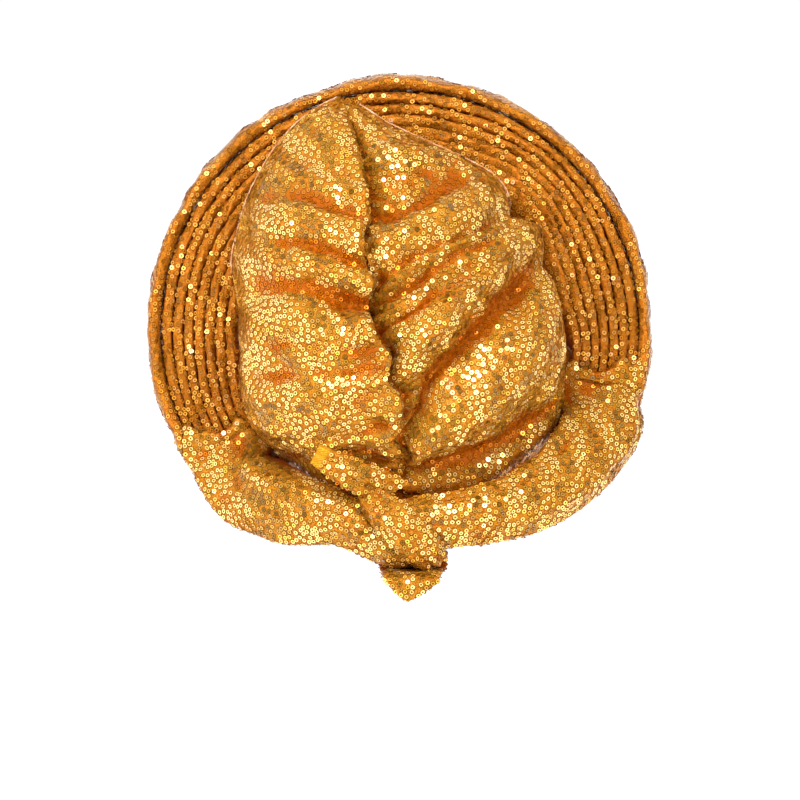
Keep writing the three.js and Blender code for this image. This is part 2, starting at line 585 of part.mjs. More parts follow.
// The tails' rows: along is a share of the tail's length from the knot, width a share of its width, and back
// and aside are shares of its length too, behind and to the wearer's right of a straight line.
const upperTailRows = [
  { along: 0, width: 0.75, back: 0, aside: 0, curl: 0 },
  { along: 0.35, width: 0.95, back: 0.06, aside: 0, curl: 0.06 },
  { along: 0.7, width: 1, back: 0.08, aside: 0, curl: 0.06 },
  { along: 1, width: 0.9, back: 0.06, aside: 0, curl: 0 },
];
const lowerTailRows = [
  { along: 0, width: 0.86, back: 0, aside: 0, curl: 0 },
  { along: 0.42, width: 1.03, back: 0, aside: 0, curl: 0.02 },
  { along: 0.74, width: 0.86, back: 0.05, aside: 0.02, curl: 0.08 },
  { along: 0.9, width: 0.36, back: 0.1, aside: 0.0, curl: 0.04 },
  { along: 1, width: 0.06, back: 0.13, aside: 0, curl: 0 },
];

function clothTail(name, rows, { start, along, root, tip, length, width, steps }) {
  const grid = Array.from({ length: steps + 1 }, (_, i) => {
    const row = rowAt(rows, i / steps);
    const across = root.clone().lerp(tip, i / steps).normalize();
    return Array.from({ length: 7 }, (_, j) => {
      const side = j / 3 - 1;
      return start.clone()
        .addScaledVector(along, row.along * length)
        .addScaledVector(knotBack, (row.back + row.curl * (1 - side ** 2)) * length)
        .addScaledVector(across, (side * row.width * width) / 2 + row.aside * length);
    });
  });
  return clothSheet(name, grid, TAIL_THICK, materials.ties);
}

function upperTail() {
  const along = vec(-0.94, 0, 0.34).normalize();
  return clothTail("upper_tail", upperTailRows, {
    start: knotCentre.clone().addScaledVector(knotLong, -(KNOT_LONG + knotReach + SEAT)),
    along,
    root: knotAxis,
    tip: vec(along.z, 0.5, -along.x),
    length: UPPER_TAIL_LENGTH,
    width: UPPER_TAIL_WIDTH,
    steps: 8,
  });
}

function lowerTail() {
  const front = KNOT_DEEP + knotReach + SEAT + TAIL_THICK / 2;
  return clothTail("lower_tail", lowerTailRows, {
    start: knotCentre.clone().add(vec(LOWER_TAIL_SIDE, front, 0)),
    along: vec(0, 0, -1),
    root: vec(1, 0, 0),
    tip: vec(1, 0, 0),
    length: LOWER_TAIL_LENGTH,
    width: LOWER_TAIL_WIDTH,
    steps: 9,
  });
}

const gele = new THREE.Group();
gele.name = "tied_gele";
gele.add(pleatedFan());
gele.add(outerWrap());
gele.add(crownBag());
gele.add(clothRoll("left_wrap", leftRoll, -1));
gele.add(clothRoll("right_wrap", rightRoll, 1));
gele.add(napeKnot());
gele.add(upperTail());
gele.add(lowerTail());

export default gele;
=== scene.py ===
# A tied gele head tie of gold sequinned cloth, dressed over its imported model.
# The cloth's maps repeat those of the part's source, in millimetres, and are made into finer surfaces here.
# Each piece of cloth is covered with real sequins: small flat rings, sewn on close together.

import math

import bpy
import numpy as np
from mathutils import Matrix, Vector


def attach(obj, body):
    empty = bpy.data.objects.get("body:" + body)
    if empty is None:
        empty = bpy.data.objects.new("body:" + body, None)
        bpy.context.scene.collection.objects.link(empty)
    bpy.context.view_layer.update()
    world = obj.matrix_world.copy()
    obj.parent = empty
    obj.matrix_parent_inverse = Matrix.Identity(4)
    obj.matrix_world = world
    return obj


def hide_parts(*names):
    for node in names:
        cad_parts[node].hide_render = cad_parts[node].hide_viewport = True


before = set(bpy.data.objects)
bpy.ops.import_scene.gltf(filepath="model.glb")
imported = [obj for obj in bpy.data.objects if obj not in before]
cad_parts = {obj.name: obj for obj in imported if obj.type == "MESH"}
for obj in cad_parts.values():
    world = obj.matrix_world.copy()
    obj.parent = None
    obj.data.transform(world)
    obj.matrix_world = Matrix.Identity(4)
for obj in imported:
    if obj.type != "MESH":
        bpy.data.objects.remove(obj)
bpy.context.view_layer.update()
scene = bpy.context.scene

MM = 0.001
BACKWARDS = np.array([0.0, -1, 0])

# The wearer's head and the cloth, as in the part's source.
HEAD_WIDTH = 152
HEAD_LENGTH = 194
BROW_DROP = 34
EAR_DROP = 100
CLOTH = 1.2
SEAT = 0.5
FAN_RADIUS = 157
FAN_CENTRE_DROP = 42
PLEAT_COUNT = 7
PLEAT_PITCH = 6.5
PLEAT_GROOVE = 2.9
WRAP_WIDTH = 9
RING_BACK = 38
RIDGE_STEP = 2.2
FAN_FRONT = 26
BROW_EASE = 6
CROWN_SAG = 32
BROW_BACK = 20
EAR_FRONT = 28
WRAP_FRONT = 27
LEFT_END = 217
RIGHT_END = -19
GATHER_ANGLE = 26
GATHER_WIDTH = 39.5
GATHER_DEPTH = 22
GATHER_Y = -15
BAG_SLACK = 22
BAG_SWELL = 18
BAG_TUCK = 0.4
SEAM_DEPTH = 16
FOLD_HEIGHT = 9
MOUTH_WIDTH = 56
MOUTH_DEPTH = 38
MOUTH_LAP = 5
MOUTH_EASE = 2
CREASE = 0.1
KNOT_BACK = 5
KNOT_DROP = 163
KNOT_SIDE = 4
KNOT_LONG = 24
KNOT_DEEP = 15
KNOT_BAND = 21
KNOT_THICK = 5
KNOT_RIB = 1.8
KNOT_SLANT = 26
TAIL_THICK = 2.4
UPPER_TAIL_LENGTH = 43
UPPER_TAIL_WIDTH = 21
LOWER_TAIL_LENGTH = 44
LOWER_TAIL_WIDTH = 48
LOWER_TAIL_SIDE = 6
RIDGE_HALF = 0.445
BROW_LAYER = 0.1

WRAP_INNER = FAN_RADIUS - WRAP_WIDTH
RING_INNER = WRAP_INNER - PLEAT_COUNT * PLEAT_PITCH
BAG_BACK = HEAD_LENGTH / 2 + BAG_SLACK
LAY = CLOTH + SEAT

# The sequins, in mm and degrees. Each stands a little off the cloth, and a few hang loose.
SEQUIN_RADIUS = 1.62
SEQUIN_HOLE = 0.5
SEQUIN_SPACING = 2.9
SEQUIN_TRIES = 9
SEQUIN_LIFT = 0.35
SEQUIN_TILT = 2.8
SEQUIN_DRIFT = 6
LOOSE_SHARE = 0.12
LOOSE_TILT = 3.6

# One unit of the cloth's UVs is 100 mm.
UV_PER_MM = 0.01


def smooth(x):
    x = np.clip(x, 0, 1)
    return x * x * (3 - 2 * x)


def bump(distance, spread):
    return np.exp(-((distance / spread) ** 2))


def lerp(a, b, t):
    return a + (b - a) * t


def stack(x, y, z):
    return np.stack(np.broadcast_arrays(x, y, z), axis=-1).astype(float)


def around(radius, degrees, y):
    """Points round the fan's centre, in the plane at depth y."""
    turn = np.radians(degrees)
    return stack(radius * np.cos(turn), y, radius * np.sin(turn) - FAN_CENTRE_DROP)


def outwards(degrees):
    return around(1, degrees, 0) - around(0, degrees, 0)


def unit(v):
    return v / np.maximum(np.linalg.norm(v, axis=-1, keepdims=True), 1e-9)


def table(names, rows):
    values = np.array(rows, dtype=float)
    return {name: values[:, k] for k, name in enumerate(names.split())}


def spline(values, place):
    """Catmull-Rom through values along their first axis, at places from 0 to len - 1."""
    values = np.asarray(values, dtype=float)
    last = len(values) - 1
    i = np.clip(np.floor(place).astype(int), 0, last - 1)
    t = place - i
    t = t.reshape(t.shape + (1,) * (values.ndim - 1))
    a, b, c, d = (values[np.clip(i + k, 0, last)] for k in (-1, 0, 1, 2))
    slope_in = (c - a) / 2
    slope_out = (d - b) / 2
    cubic = (2 * b - 2 * c + slope_in + slope_out) * t**3
    return cubic + (3 * c - 3 * b - 2 * slope_in - slope_out) * t**2 + slope_in * t + b


def row_at(rows, share):
    place = np.asarray(share, dtype=float) * (len(next(iter(rows.values()))) - 1)
    return {name: spline(values, place) for name, values in rows.items()}


def waves(count, low, high, seed):
    """A smooth random function of two lengths in mm: a sum of sines with wavelengths from low to high."""
    r = np.random.default_rng(seed)
    lengths = np.exp(r.uniform(np.log(low), np.log(high), count))
    turns = r.uniform(0, 2 * np.pi, count)
    phases = r.uniform(0, 2 * np.pi, count)
    scale = 1 / np.sqrt(count / 2)

    def value(u, v):
        total = 0
        for length, turn, phase in zip(lengths, turns, phases):
            along = u * np.cos(turn) + v * np.sin(turn)
            total = total + np.sin(2 * np.pi * along / length + phase)
        return total * scale

    return value


# Meshes.

# Whether a grid closes on itself along its rows and along its columns.
OPEN = (False, False)
TUBE = (False, True)
LOOP = (True, True)


def grid_normals(points, closed=OPEN):
    def along(axis):
        if closed[axis]:
            before, after = np.roll(points, 1, axis), np.roll(points, -1, axis)
            return unit(after - points) + unit(points - before)
        step = unit(np.diff(points, axis=axis))
        first = np.take(step, [0], axis=axis)
        last = np.take(step, [-1], axis=axis)
        return np.concatenate([first, step], axis) + np.concatenate([step, last], axis)

    return unit(np.cross(along(1), along(0)))


def lengths_along(points, axis):
    """How far each point of a grid is along its axis, in mm."""
    step = np.linalg.norm(np.diff(points, axis=axis), axis=-1)
    total = np.cumsum(step, axis=axis)
    return np.concatenate([np.zeros_like(np.take(total, [0], axis=axis)), total], axis)


def mesh_from(name, vertices, faces, finish, smooth_faces=True):
    faces = faces if isinstance(faces, list) else faces.tolist()
    mesh = bpy.data.meshes.new(name)
    mesh.from_pydata((np.asarray(vertices) * MM).tolist(), [], faces)
    mesh.materials.append(finish)
    mesh.polygons.foreach_set("use_smooth", [smooth_faces] * len(mesh.polygons))
    obj = bpy.data.objects.new(name, mesh)
    scene.collection.objects.link(obj)
    return obj


def set_attribute(obj, name, values):
    layer = obj.data.attributes.new(name, "FLOAT", "POINT")
    layer.data.foreach_set("value", np.asarray(values, dtype=np.float32).ravel())


def grid_faces(rows, columns, closed=OPEN):
    i = np.arange(rows if closed[0] else rows - 1)
    j = np.arange(columns if closed[1] else columns - 1)
    i, j = np.meshgrid(i, j, indexing="ij")
    i2, j2 = (i + 1) % rows, (j + 1) % columns
    corners = [i * columns + j, i * columns + j2, i2 * columns + j2, i2 * columns + j]
    return np.stack(corners, axis=-1).reshape(-1, 4)


def cloth_object(name, points, crease, finish, closed=OPEN):
    """A sheet of cloth through a grid of points, with its lengths kept as UVs at real size."""
    rows, columns = points.shape[:2]
    faces = grid_faces(rows, columns, closed)
    obj = mesh_from(name, points.reshape(-1, 3), faces, finish)
    set_attribute(obj, "crease", crease)
    u = lengths_along(points, 1)
    v = np.broadcast_to(lengths_along(points, 0).mean(axis=1, keepdims=True), u.shape)
    layer = obj.data.uv_layers.new(name="cloth")
    index = np.empty(len(obj.data.loops), dtype=np.int32)
    obj.data.loops.foreach_get("vertex_index", index)
    pairs = np.stack([u.ravel()[index], v.ravel()[index]], axis=-1) * UV_PER_MM
    layer.data.foreach_set("uv", pairs.astype(np.float32).ravel())
    return obj


def turned(normals, outward, where=...):
    """Normals, all turned round if they point against outward on the whole, or at the places given."""
    return normals * (1 if (normals * outward)[where].sum() > 0 else -1)


def creases_of(points, normals, reach, depth):
    """How deep each point of a grid lies below its surroundings: 0 on the ridges to 1 in the creases. The
    materials paint shade into the cloth by it.
    """
    blurred = points.copy()
    for _ in range(reach):
        padded = np.pad(blurred, ((1, 1), (1, 1), (0, 0)), mode="edge")
        blurred = (padded[:-2, 1:-1] + padded[2:, 1:-1] + padded[1:-1, :-2] + padded[1:-1, 2:]) / 4
    return np.clip(((blurred - points) * normals).sum(axis=-1) / depth, 0, 1)


def all_but(points, rows=(0, 0), columns=(0, 0)):
    """A mask of a grid's points, without so many rows and columns at its start and end."""
    keep = np.zeros(points.shape[:2], dtype=bool)
    keep[rows[0] : len(points) - rows[1], columns[0] : points.shape[1] - columns[1]] = True
    return keep


# Sequins.


def ring_vertices(sides):
    turn = np.arange(sides) / sides * 2 * np.pi
    flat = np.stack([np.cos(turn), np.sin(turn), np.zeros(sides)], axis=-1)
    return np.concatenate([flat * SEQUIN_RADIUS, flat * SEQUIN_HOLE])


def scatter(points, normals, crease, keep, spacing, seed, closed=OPEN):
    """Places for sequins on a grid of cloth, evenly over the cells that are kept, at least spacing apart."""
    r = np.random.default_rng(seed)
    rows, columns = points.shape[:2]
    faces = grid_faces(rows, columns, closed)
    p = points.reshape(-1, 3)[faces]
    area = np.linalg.norm(np.cross(p[:, 2] - p[:, 0], p[:, 3] - p[:, 1]), axis=-1) / 2
    area = area * keep.ravel()[faces].min(axis=1)
    count = int(area.sum() / spacing**2 * SEQUIN_TRIES)
    chosen = r.choice(len(faces), size=count, p=area / area.sum())
    s, t = r.random(count), r.random(count)
    weights = np.stack([(1 - s) * (1 - t), s * (1 - t), s * t, (1 - s) * t], axis=-1)[..., None]
    corner = faces[chosen]
    place = (points.reshape(-1, 3)[corner] * weights).sum(axis=1)
    normal = unit((normals.reshape(-1, 3)[corner] * weights).sum(axis=1))
    deep = (crease.ravel()[corner] * weights[..., 0]).sum(axis=1)
    cells = {}
    kept = []
    key = np.floor(place / spacing).astype(int).tolist()
    where = place.tolist()
    near = [(a, b, c) for a in (-1, 0, 1) for b in (-1, 0, 1) for c in (-1, 0, 1)]
    for k in range(count):
        i, j, h = key[k]
        taken = (q for a, b, c in near for q in cells.get((i + a, j + b, h + c), ()))
        if all(math.dist(where[k], q) >= spacing for q in taken):
            cells.setdefault((i, j, h), []).append(where[k])
            kept.append(k)
    return place[kept], normal[kept], deep[kept]


drift = [waves(9, 14, 40, 50 + k) for k in range(3)]


def sequins(name, place, normal, deep, finish, seed, sides=10):
    """One mesh of flat rings, each lying on the cloth at a slight tilt of its own."""
    r = np.random.default_rng(seed)
    count = len(place)
    along, up = place[:, 0] + 0.6 * place[:, 1], place[:, 2] - 0.5 * place[:, 1]
    lean = r.normal(0, math.radians(SEQUIN_TILT), (count, 2))
    loose = r.random(count) < LOOSE_SHARE
    lean[loose] *= LOOSE_TILT
    for axis in (0, 1):
        lean[:, axis] += math.radians(SEQUIN_DRIFT) * drift[axis](along, up)
    side = unit(np.cross(normal, r.normal(0, 1, (count, 3))))
    world = unit(np.cross(normal, [0.3, 0.1, 1.0]))
    other = np.cross(normal, world)
    facing = unit(normal + world * lean[:, :1] + other * lean[:, 1:])
    side = unit(side - facing * (side * facing).sum(axis=-1, keepdims=True))
    third = np.cross(facing, side)
    ring = ring_vertices(sides)
    size = r.uniform(0.94, 1.05, count)[:, None, None]
    height = (SEQUIN_LIFT + r.uniform(0, 0.25, count))[:, None, None]
    spots = place[:, None] + normal[:, None] * height
    spots = spots + size * (ring[None, :, :1] * side[:, None] + ring[None, :, 1:2] * third[:, None])
    k = np.arange(sides)
    k2 = (k + 1) % sides
    one = np.stack([k, k2, k2 + sides, k + sides], axis=-1)
    faces = (one[None] + (np.arange(count) * 2 * sides)[:, None, None]).reshape(-1, 4)
    obj = mesh_from(name, spots.reshape(-1, 3), faces, finish, smooth_faces=False)
    # Painted reflection: broad patches of sequins are made darker and olive or paler, as if they mirrored
    # dark and bright parts of the room; the rest of each sequin's colour differs at random.
    painted_reflection_patch = 0.5 + 0.5 * np.clip(drift[2](along, up) * 1.5, -1, 1)
    tone_and_reflection = np.clip(r.beta(2.2, 2.2, count) * 0.42 + painted_reflection_patch * 0.58, 0, 1)
    set_attribute(obj, "tone_and_reflection", np.repeat(tone_and_reflection, 2 * sides))
    set_attribute(obj, "crease", np.repeat(deep, 2 * sides))
    set_attribute(obj, "reach", np.tile(np.repeat([1.0, 0.0], sides), count))
    return obj


# Materials.


class Finish:
    """The nodes of a material or a world, with short ways to add to them."""

    def __init__(self, owner, shader="BSDF_PRINCIPLED"):
        owner.use_nodes = True
        self.owner = owner
        self.nodes = owner.node_tree.nodes
        self.links = owner.node_tree.links
        self.shader = next(n for n in self.nodes if n.type == shader)

    def feed(self, node, values):
        """Gives a node's inputs a number, a colour or what another node puts out."""
        for name, value in values.items():
            socket = node.inputs[name]
            if isinstance(value, (int, float)):
                socket.default_value = value
            elif isinstance(value, tuple):
                socket.default_value = (*value, 1)
            else:
                self.links.new(value, socket)

    def add(self, kind, values, **settings):
        node = self.nodes.new("ShaderNode" + kind)
        for name, value in settings.items():
            setattr(node, name, value)
        self.feed(node, values)
        return node.outputs

    def ramp(self, factor, stops):
        node = self.nodes.new("ShaderNodeValToRGB")
        elements = node.color_ramp.elements
        while len(elements) < len(stops):
            elements.new(0.5)
        for element, (place, colour) in zip(elements, stops):
            element.position = place
            element.color = (*colour, 1)
        self.feed(node, {0: factor})
        return node.outputs[0]

    def maths(self, operation, *values, clamp=False):
        return self.add("Math", dict(enumerate(values)), operation=operation, use_clamp=clamp)[0]

    def mix(self, factor, first, second, blend="MIX"):
        return self.add("Mix", {0: factor, 6: first, 7: second}, data_type="RGBA", blend_type=blend)[2]

    def attribute(self, name):
        return self.add("Attribute", {}, attribute_name=name)["Fac"]

    def coordinates(self, kind):
        return self.add("TexCoord", {})[kind]

    def noise(self, scale, detail):
        values = {"Scale": scale, "Detail": detail, "Vector": self.coordinates("Object")}
        return self.add("TexNoise", values)["Fac"]

    def between(self, value, low, high):
        return self.add("MapRange", {"Value": value, "To Min": low, "To Max": high})[0]

    def bumps(self, height, strength, distance):
        values = {"Strength": strength, "Distance": distance, "Height": height}
        self.feed(self.shader, {"Normal": self.add("Bump", values)[0]})


def material(name):
    return Finish(bpy.data.materials.new(name))


BLACK = (0, 0, 0)
WHITE = (1, 1, 1)
WARM = (1.0, 0.72, 0.36)
PALE = (1.0, 0.71, 0.23)
GOLD = (0.95, 0.52, 0.065)
OLIVE = (0.2, 0.095, 0.006)
# Painted shade: the deep red that the sequins are mixed into in their creases.
CREASE_SHADE_RED = (0.56, 0.15, 0.003)
AMBER = (0.31, 0.095, 0.003)
BARE_NET = (0.56, 0.25, 0.01)

# The film is darker at the cut rim and at the hole.
FILM = [
    (0.0, (0.08, 0.035, 0.01)),
    (0.13, (0.4, 0.28, 0.16)),
    (0.24, WHITE),
    (0.7, WHITE),
    (0.82, (0.34, 0.22, 0.11)),
    (0.91, (0.06, 0.026, 0.006)),
    (1.0, (0.04, 0.015, 0.004)),
]


def sequin_material(name, pale, gold, dark, metal, coat):
    """Gold film on plastic: a metal ring whose colour differs at random from one sequin to the next, with
    painted reflection in darker and paler patches and painted shade in the creases.
    """
    film = material(name)
    between = tuple(lerp(np.array(dark), np.array(gold), 0.6))
    tone_and_reflection = film.ramp(film.attribute("tone_and_reflection"), [(0.08, dark), (0.3, between), (0.5, gold), (0.85, pale)])
    # Painted shade: towards the creases the rings are mixed into a deep red, and their clear coat thins away.
    share = film.maths("MULTIPLY", film.attribute("crease"), 1.0, clamp=True)
    film_with_painted_shade = film.mix(share, tone_and_reflection, CREASE_SHADE_RED)
    grain = film.noise(900, 2)
    film.feed(film.shader, {
        "Base Color": film.mix(1.0, film_with_painted_shade, film.ramp(film.attribute("reach"), FILM), "MULTIPLY"),
        "Metallic": metal,
        "Specular IOR Level": 0.3,
        "Specular Tint": WARM,
        "Roughness": film.between(grain, 0.08, 0.15),
        "Coat Weight": film.maths("MULTIPLY_ADD", share, -coat, coat),
        "Coat Roughness": 0.035,
        "Coat IOR": 1.5,
    })
    film.bumps(grain, 0.12, 0.0002)
    return film.owner


def net_material(name, light, amber, red):
    """Amber net under the sequins, drawn with sequins too where none stand: rings, holes and woven gaps."""
    net = material(name)
    flat = net.coordinates("UV")
    cells = net.add("TexVoronoi", {"Scale": 36, "Randomness": 0.55, "Vector": flat}, voronoi_dimensions="2D")
    stops = [(0.0, BLACK), (0.14, BLACK), (0.2, WHITE), (0.48, WHITE), (0.56, BLACK)]
    ring = net.ramp(cells["Distance"], stops)
    weave = net.add("TexWave", {"Scale": 34, "Distortion": 1.5, "Vector": flat}, bands_direction="DIAGONAL")
    ground = net.ramp(net.noise(55, 5), [(0.3, red), (0.52, amber), (0.72, light)])
    threads = net.mix(0.35, ground, weave["Color"], "MULTIPLY")
    sequin = net.mix(1.0, light, net.between(cells["Color"], 0.75, 1.3), "MULTIPLY")
    colour = net.mix(net.maths("MULTIPLY", ring, 0.75), threads, sequin)
    # Painted shade: towards the creases the net is mixed into its deepest red.
    crease = net.maths("MULTIPLY", net.attribute("crease"), 0.95, clamp=True)
    plain = net.mix(0.45, BARE_NET, weave["Color"], "MULTIPLY")
    net_with_painted_shade = net.mix(crease, colour, red)
    net.feed(net.shader, {
        "Base Color": net.mix(net.attribute("bare"), net_with_painted_shade, plain),
        "Specular Tint": WARM,
        "Metallic": 0.1,
        "Specular IOR Level": 0.2,
        "Roughness": net.between(ring, 0.55, 0.3),
        "Sheen Weight": 0.05,
        "Sheen Roughness": 0.4,
        "Sheen Tint": (1.0, 0.6, 0.3),
    })
    net.bumps(net.maths("MULTIPLY_ADD", weave["Fac"], 0.25, ring), 0.6, 0.0004)
    return net.owner


def hem_material():
    """The bare, fuzzy hem of the net."""
    fuzz = material("frayed_hem")
    noise = fuzz.noise(260, 4)
    tones = [(0.35, (0.5, 0.2, 0.05)), (0.52, (0.66, 0.34, 0.17)), (0.7, (0.84, 0.56, 0.38))]
    fuzz.feed(fuzz.shader, {"Base Color": fuzz.ramp(noise, tones), "Roughness": 0.85})
    fuzz.bumps(noise, 0.5, 0.0003)
    return fuzz.owner


crown_net = net_material("crown_net", (0.4, 0.15, 0.008), AMBER, (0.34, 0.068, 0.001))
pleat_net = net_material("pleat_net", (0.44, 0.145, 0.009), (0.37, 0.1, 0.005), (0.33, 0.07, 0.002))
crown_sequins = sequin_material("crown_sequins", PALE, GOLD, OLIVE, 0.45, 0.42)
# Painted shade: the pleats' sequins are a darker, more orange and duller copy of the crown's.
pleat_shade_tones = ((0.8, 0.4, 0.06), (0.66, 0.27, 0.025), (0.26, 0.095, 0.004))
pleat_sequins = sequin_material("pleat_sequins", *pleat_shade_tones, 0.32, 0.25)
frayed_hem = hem_material()


THREADS_PER_POINT = 16


def hem(name, paths, radius, hair, seed):
    """Fine cords along paths, with short threads standing out of them."""
    r = np.random.default_rng(seed)
    sides = 6
    turn = (np.arange(sides) / sides * 2 * np.pi)[None, :, None]
    vertices, faces = [], []
    for path in paths:
        along = unit(np.gradient(path, axis=0))
        across = unit(np.cross(along, [0.2, 1.0, 0.1]))
        over = np.cross(along, across)
        thick = radius * (1 + 0.35 * waves(6, 2, 9, seed)(np.arange(len(path)) * 1.0, 0))[:, None, None]
        cord = path[:, None] + thick * (np.cos(turn) * across[:, None] + np.sin(turn) * over[:, None])
        start = sum(len(v) for v in vertices)
        vertices.append(cord.reshape(-1, 3))
        faces += (grid_faces(len(path), sides, TUBE) + start).tolist()
        count = len(path) * THREADS_PER_POINT
        spot = r.integers(0, len(path), count)
        way = across[spot] * r.normal(0, 1, (count, 1)) + over[spot] * r.normal(0, 1, (count, 1))
        way = unit(way + along[spot] * r.normal(0, 0.7, (count, 1)))
        root = path[spot] + along[spot] * r.uniform(-1, 1, (count, 1))
        wide = unit(np.cross(way, r.normal(0, 1, (count, 3)))) * 0.08
        ends = root + way * r.uniform(0.4, 1, (count, 1)) * hair
        threads = np.stack([root - wide, root + wide, ends], axis=1)
        start += cord.shape[0] * sides
        vertices.append(threads.reshape(-1, 3))
        faces += (np.arange(count * 3).reshape(-1, 3) + start).tolist()
    return mesh_from(name, np.concatenate(vertices), faces, frayed_hem, smooth_faces=False)


# The fan of pleats, mapped as in the part's source: layer, forward and angle place a point.
# DIP_PEAK is the most that forward * (1 - forward)^4 comes to.

DIP_PEAK = 0.0819


def pitch_at(angle):
    return PLEAT_PITCH * (1 - 0.2 * bump(angle - 47, 17))


def ridge_depth(layer):
    return -(RING_BACK - layer * RIDGE_STEP)


def back_point(layer, angle):
    return around(WRAP_INNER - (PLEAT_COUNT - layer) * pitch_at(angle), angle, ridge_depth(layer))


def front_point(layer, angle):
    rise = np.sin(np.radians(angle))
    temple = HEAD_WIDTH / 2 + BROW_EASE
    brow_y = lerp(EAR_FRONT, HEAD_LENGTH / 2 - BROW_BACK, rise)
    brow = stack(temple * np.cos(np.radians(angle)), brow_y, -EAR_DROP + (EAR_DROP - BROW_DROP) * rise)
    top = around(WRAP_INNER - LAY, angle, FAN_FRONT * (0.6 + 0.4 * rise))
    return lerp(brow, top, np.asarray(layer / PLEAT_COUNT)[..., None])


def gather_point(layer, forward, angle):
    radius = WRAP_INNER - (1 - layer / PLEAT_COUNT) * GATHER_WIDTH
    return around(radius, angle, GATHER_Y + (forward - 0.5) * GATHER_DEPTH)


def gathered(angle):
    from_mouth = np.minimum(LEFT_END - angle, angle - RIGHT_END) - MOUTH_LAP - MOUTH_EASE
    return smooth(1 - from_mouth / GATHER_ANGLE)


def fan_point(layer, forward, angle):
    floats = [np.asarray(x, dtype=float) for x in (layer, forward, angle)]
    layer, forward, angle = np.broadcast_arrays(*floats)
    point = lerp(back_point(layer, angle), front_point(layer, angle), forward[..., None])
    rise = np.maximum(0, np.sin(np.radians(angle)))
    dip = forward * (1 - forward) ** 4 / DIP_PEAK
    sag = CROWN_SAG * rise**2 * np.maximum(0, 1 - layer / PLEAT_COUNT) ** 2.5 * dip
    point = point - outwards(angle) * sag[..., None]
    return lerp(point, gather_point(layer, forward, angle), gathered(angle)[..., None])


def front_half(layer, angle):
    pitch = np.linalg.norm(fan_point(layer + 0.5, 1, angle) - fan_point(layer - 0.5, 1, angle), axis=-1)
    return np.maximum(0.2, 0.5 - PLEAT_GROOVE / (2 * pitch))


def pleated_fan():
    angles = np.linspace(LEFT_END, RIGHT_END, 296)
    layers, forwards, zones = [], [], []

    def add(layer, forward, zone):
        layer, forward = np.broadcast_arrays(layer, forward)
        layers.append(np.broadcast_to(layer, angles.shape))
        forwards.append(np.broadcast_to(forward, angles.shape))
        zones.append(zone)

    for forward in (1, 0.97, 0.9, 0.8, 0.7, 0.6, 0.5, 0.4, 0.3, 0.2, 0.12):
        add(lerp(0.5 - RIDGE_HALF, BROW_LAYER, forward), forward, 2)
    long_way = (0.1, 0.16, 0.25, 0.4, 0.55, 0.7, 0.82)
    for pleat in range(PLEAT_COUNT):
        ridge, fold = pleat + 0.5, pleat + 1
        half = front_half(fold, angles)
        for t in np.linspace(-1, 1, 11):
            depth = 1 - (1 - abs(t) ** 2.2) ** (1 / 2.2)
            add(ridge + RIDGE_HALF * t * (1 + 0.12 * (1 - abs(t))), 0.065 * depth, 1)
        last = pleat == PLEAT_COUNT - 1
        for w in long_way + (0.9, 0.95, 0.98) * last:
            add(lerp(ridge + RIDGE_HALF, fold - half, w), w, 0)
        if last:
            break
        for t in np.linspace(-1, 1, 13):
            nose = 1 - (1 - abs(t) ** 3) ** (1 / 3)
            add(fold + half * t, 1 - 0.11 * nose, 2)
        for w in reversed(long_way):
            add(lerp(ridge + 1 - RIDGE_HALF, fold + half, w), w, 0)
    layer, forward, zone = np.stack(layers, 1), np.stack(forwards, 1), np.array(zones)
    # Small gathers run along the ridges and the front folds, and each pleat has its own.
    along = np.radians(angles)[:, None] * (RING_INNER + layer * PLEAT_PITCH)
    own = np.round(layer * 2) * 37.0
    small = waves(12, 6, 20, 11)(along, own)
    large = waves(8, 35, 90, 12)(along, own * 0.4)
    open_share = 1 - 0.6 * gathered(angles)[:, None]
    back_share = bump(forward, 0.2)
    ripple = (0.4 * small + 0.45 * large) * open_share
    points = fan_point(layer + 0.07 * ripple * back_share, forward, angles[:, None])
    points[..., 1] += 0.7 * waves(9, 8, 30, 13)(along, own + 11) * open_share * back_share
    front_ripple = smooth((forward - 0.6) / 0.3) * open_share
    points[..., 1] += 1.5 * waves(9, 16, 60, 14)(along, own) * front_ripple
    points[..., 2] += 1.0 * waves(9, 16, 50, 15)(along, own + 5) * front_ripple
    normals = grid_normals(points)
    tip = int(np.flatnonzero(zone == 1)[5])
    outward = -1 if normals[148, tip, 1] > 0 else 1
    side = np.where(zone == 1, outward, -outward)[None, :, None]
    # Painted shade: the net is shaded deep in the grooves between the pleats, and least on the ridges and the
    # front folds.
    crease = 0.15 + 0.85 * smooth((forward - 0.015) / 0.05) * smooth((0.97 - forward) / 0.08)
    return points, normals * side, crease, zone, forward, angles


fan_points, fan_normals, fan_crease, fan_zone, fan_forward, fan_angles = pleated_fan()
fan = cloth_object("fan_cloth", fan_points, fan_crease, pleat_net)


def clear_of_ends(degrees):
    """The fan's rows that are at least so many degrees from both its ends."""
    return ((fan_angles < LEFT_END - degrees) & (fan_angles > RIGHT_END + degrees))[:, None]


near_ridge = (fan_zone == 1) & clear_of_ends(5)
near_fold = (fan_zone == 2) & (fan_forward > 0.6) & clear_of_ends(9)
places = scatter(fan_points, fan_normals, fan_crease * 0.5, near_ridge, SEQUIN_SPACING, 21)
fan_back = sequins("fan_ridge_sequins", *places, pleat_sequins, seed=31)
places = scatter(fan_points, fan_normals, fan_crease * 0.5, near_fold, SEQUIN_SPACING * 1.12, 22)
fan_front = sequins("fan_front_sequins", *places, pleat_sequins, sides=8, seed=32)

# The outer wrap.

WRAP_SECTION = table("inset along", [
    (1.0, 0.4), (1.0, 0.16), (0.78, 0.04), (0.42, 0.0), (0.14, 0.05),
    (0.0, 0.22), (0.04, 0.6), (0.4, 0.88), (0.95, 1.0), (1.75, 0.96),
])


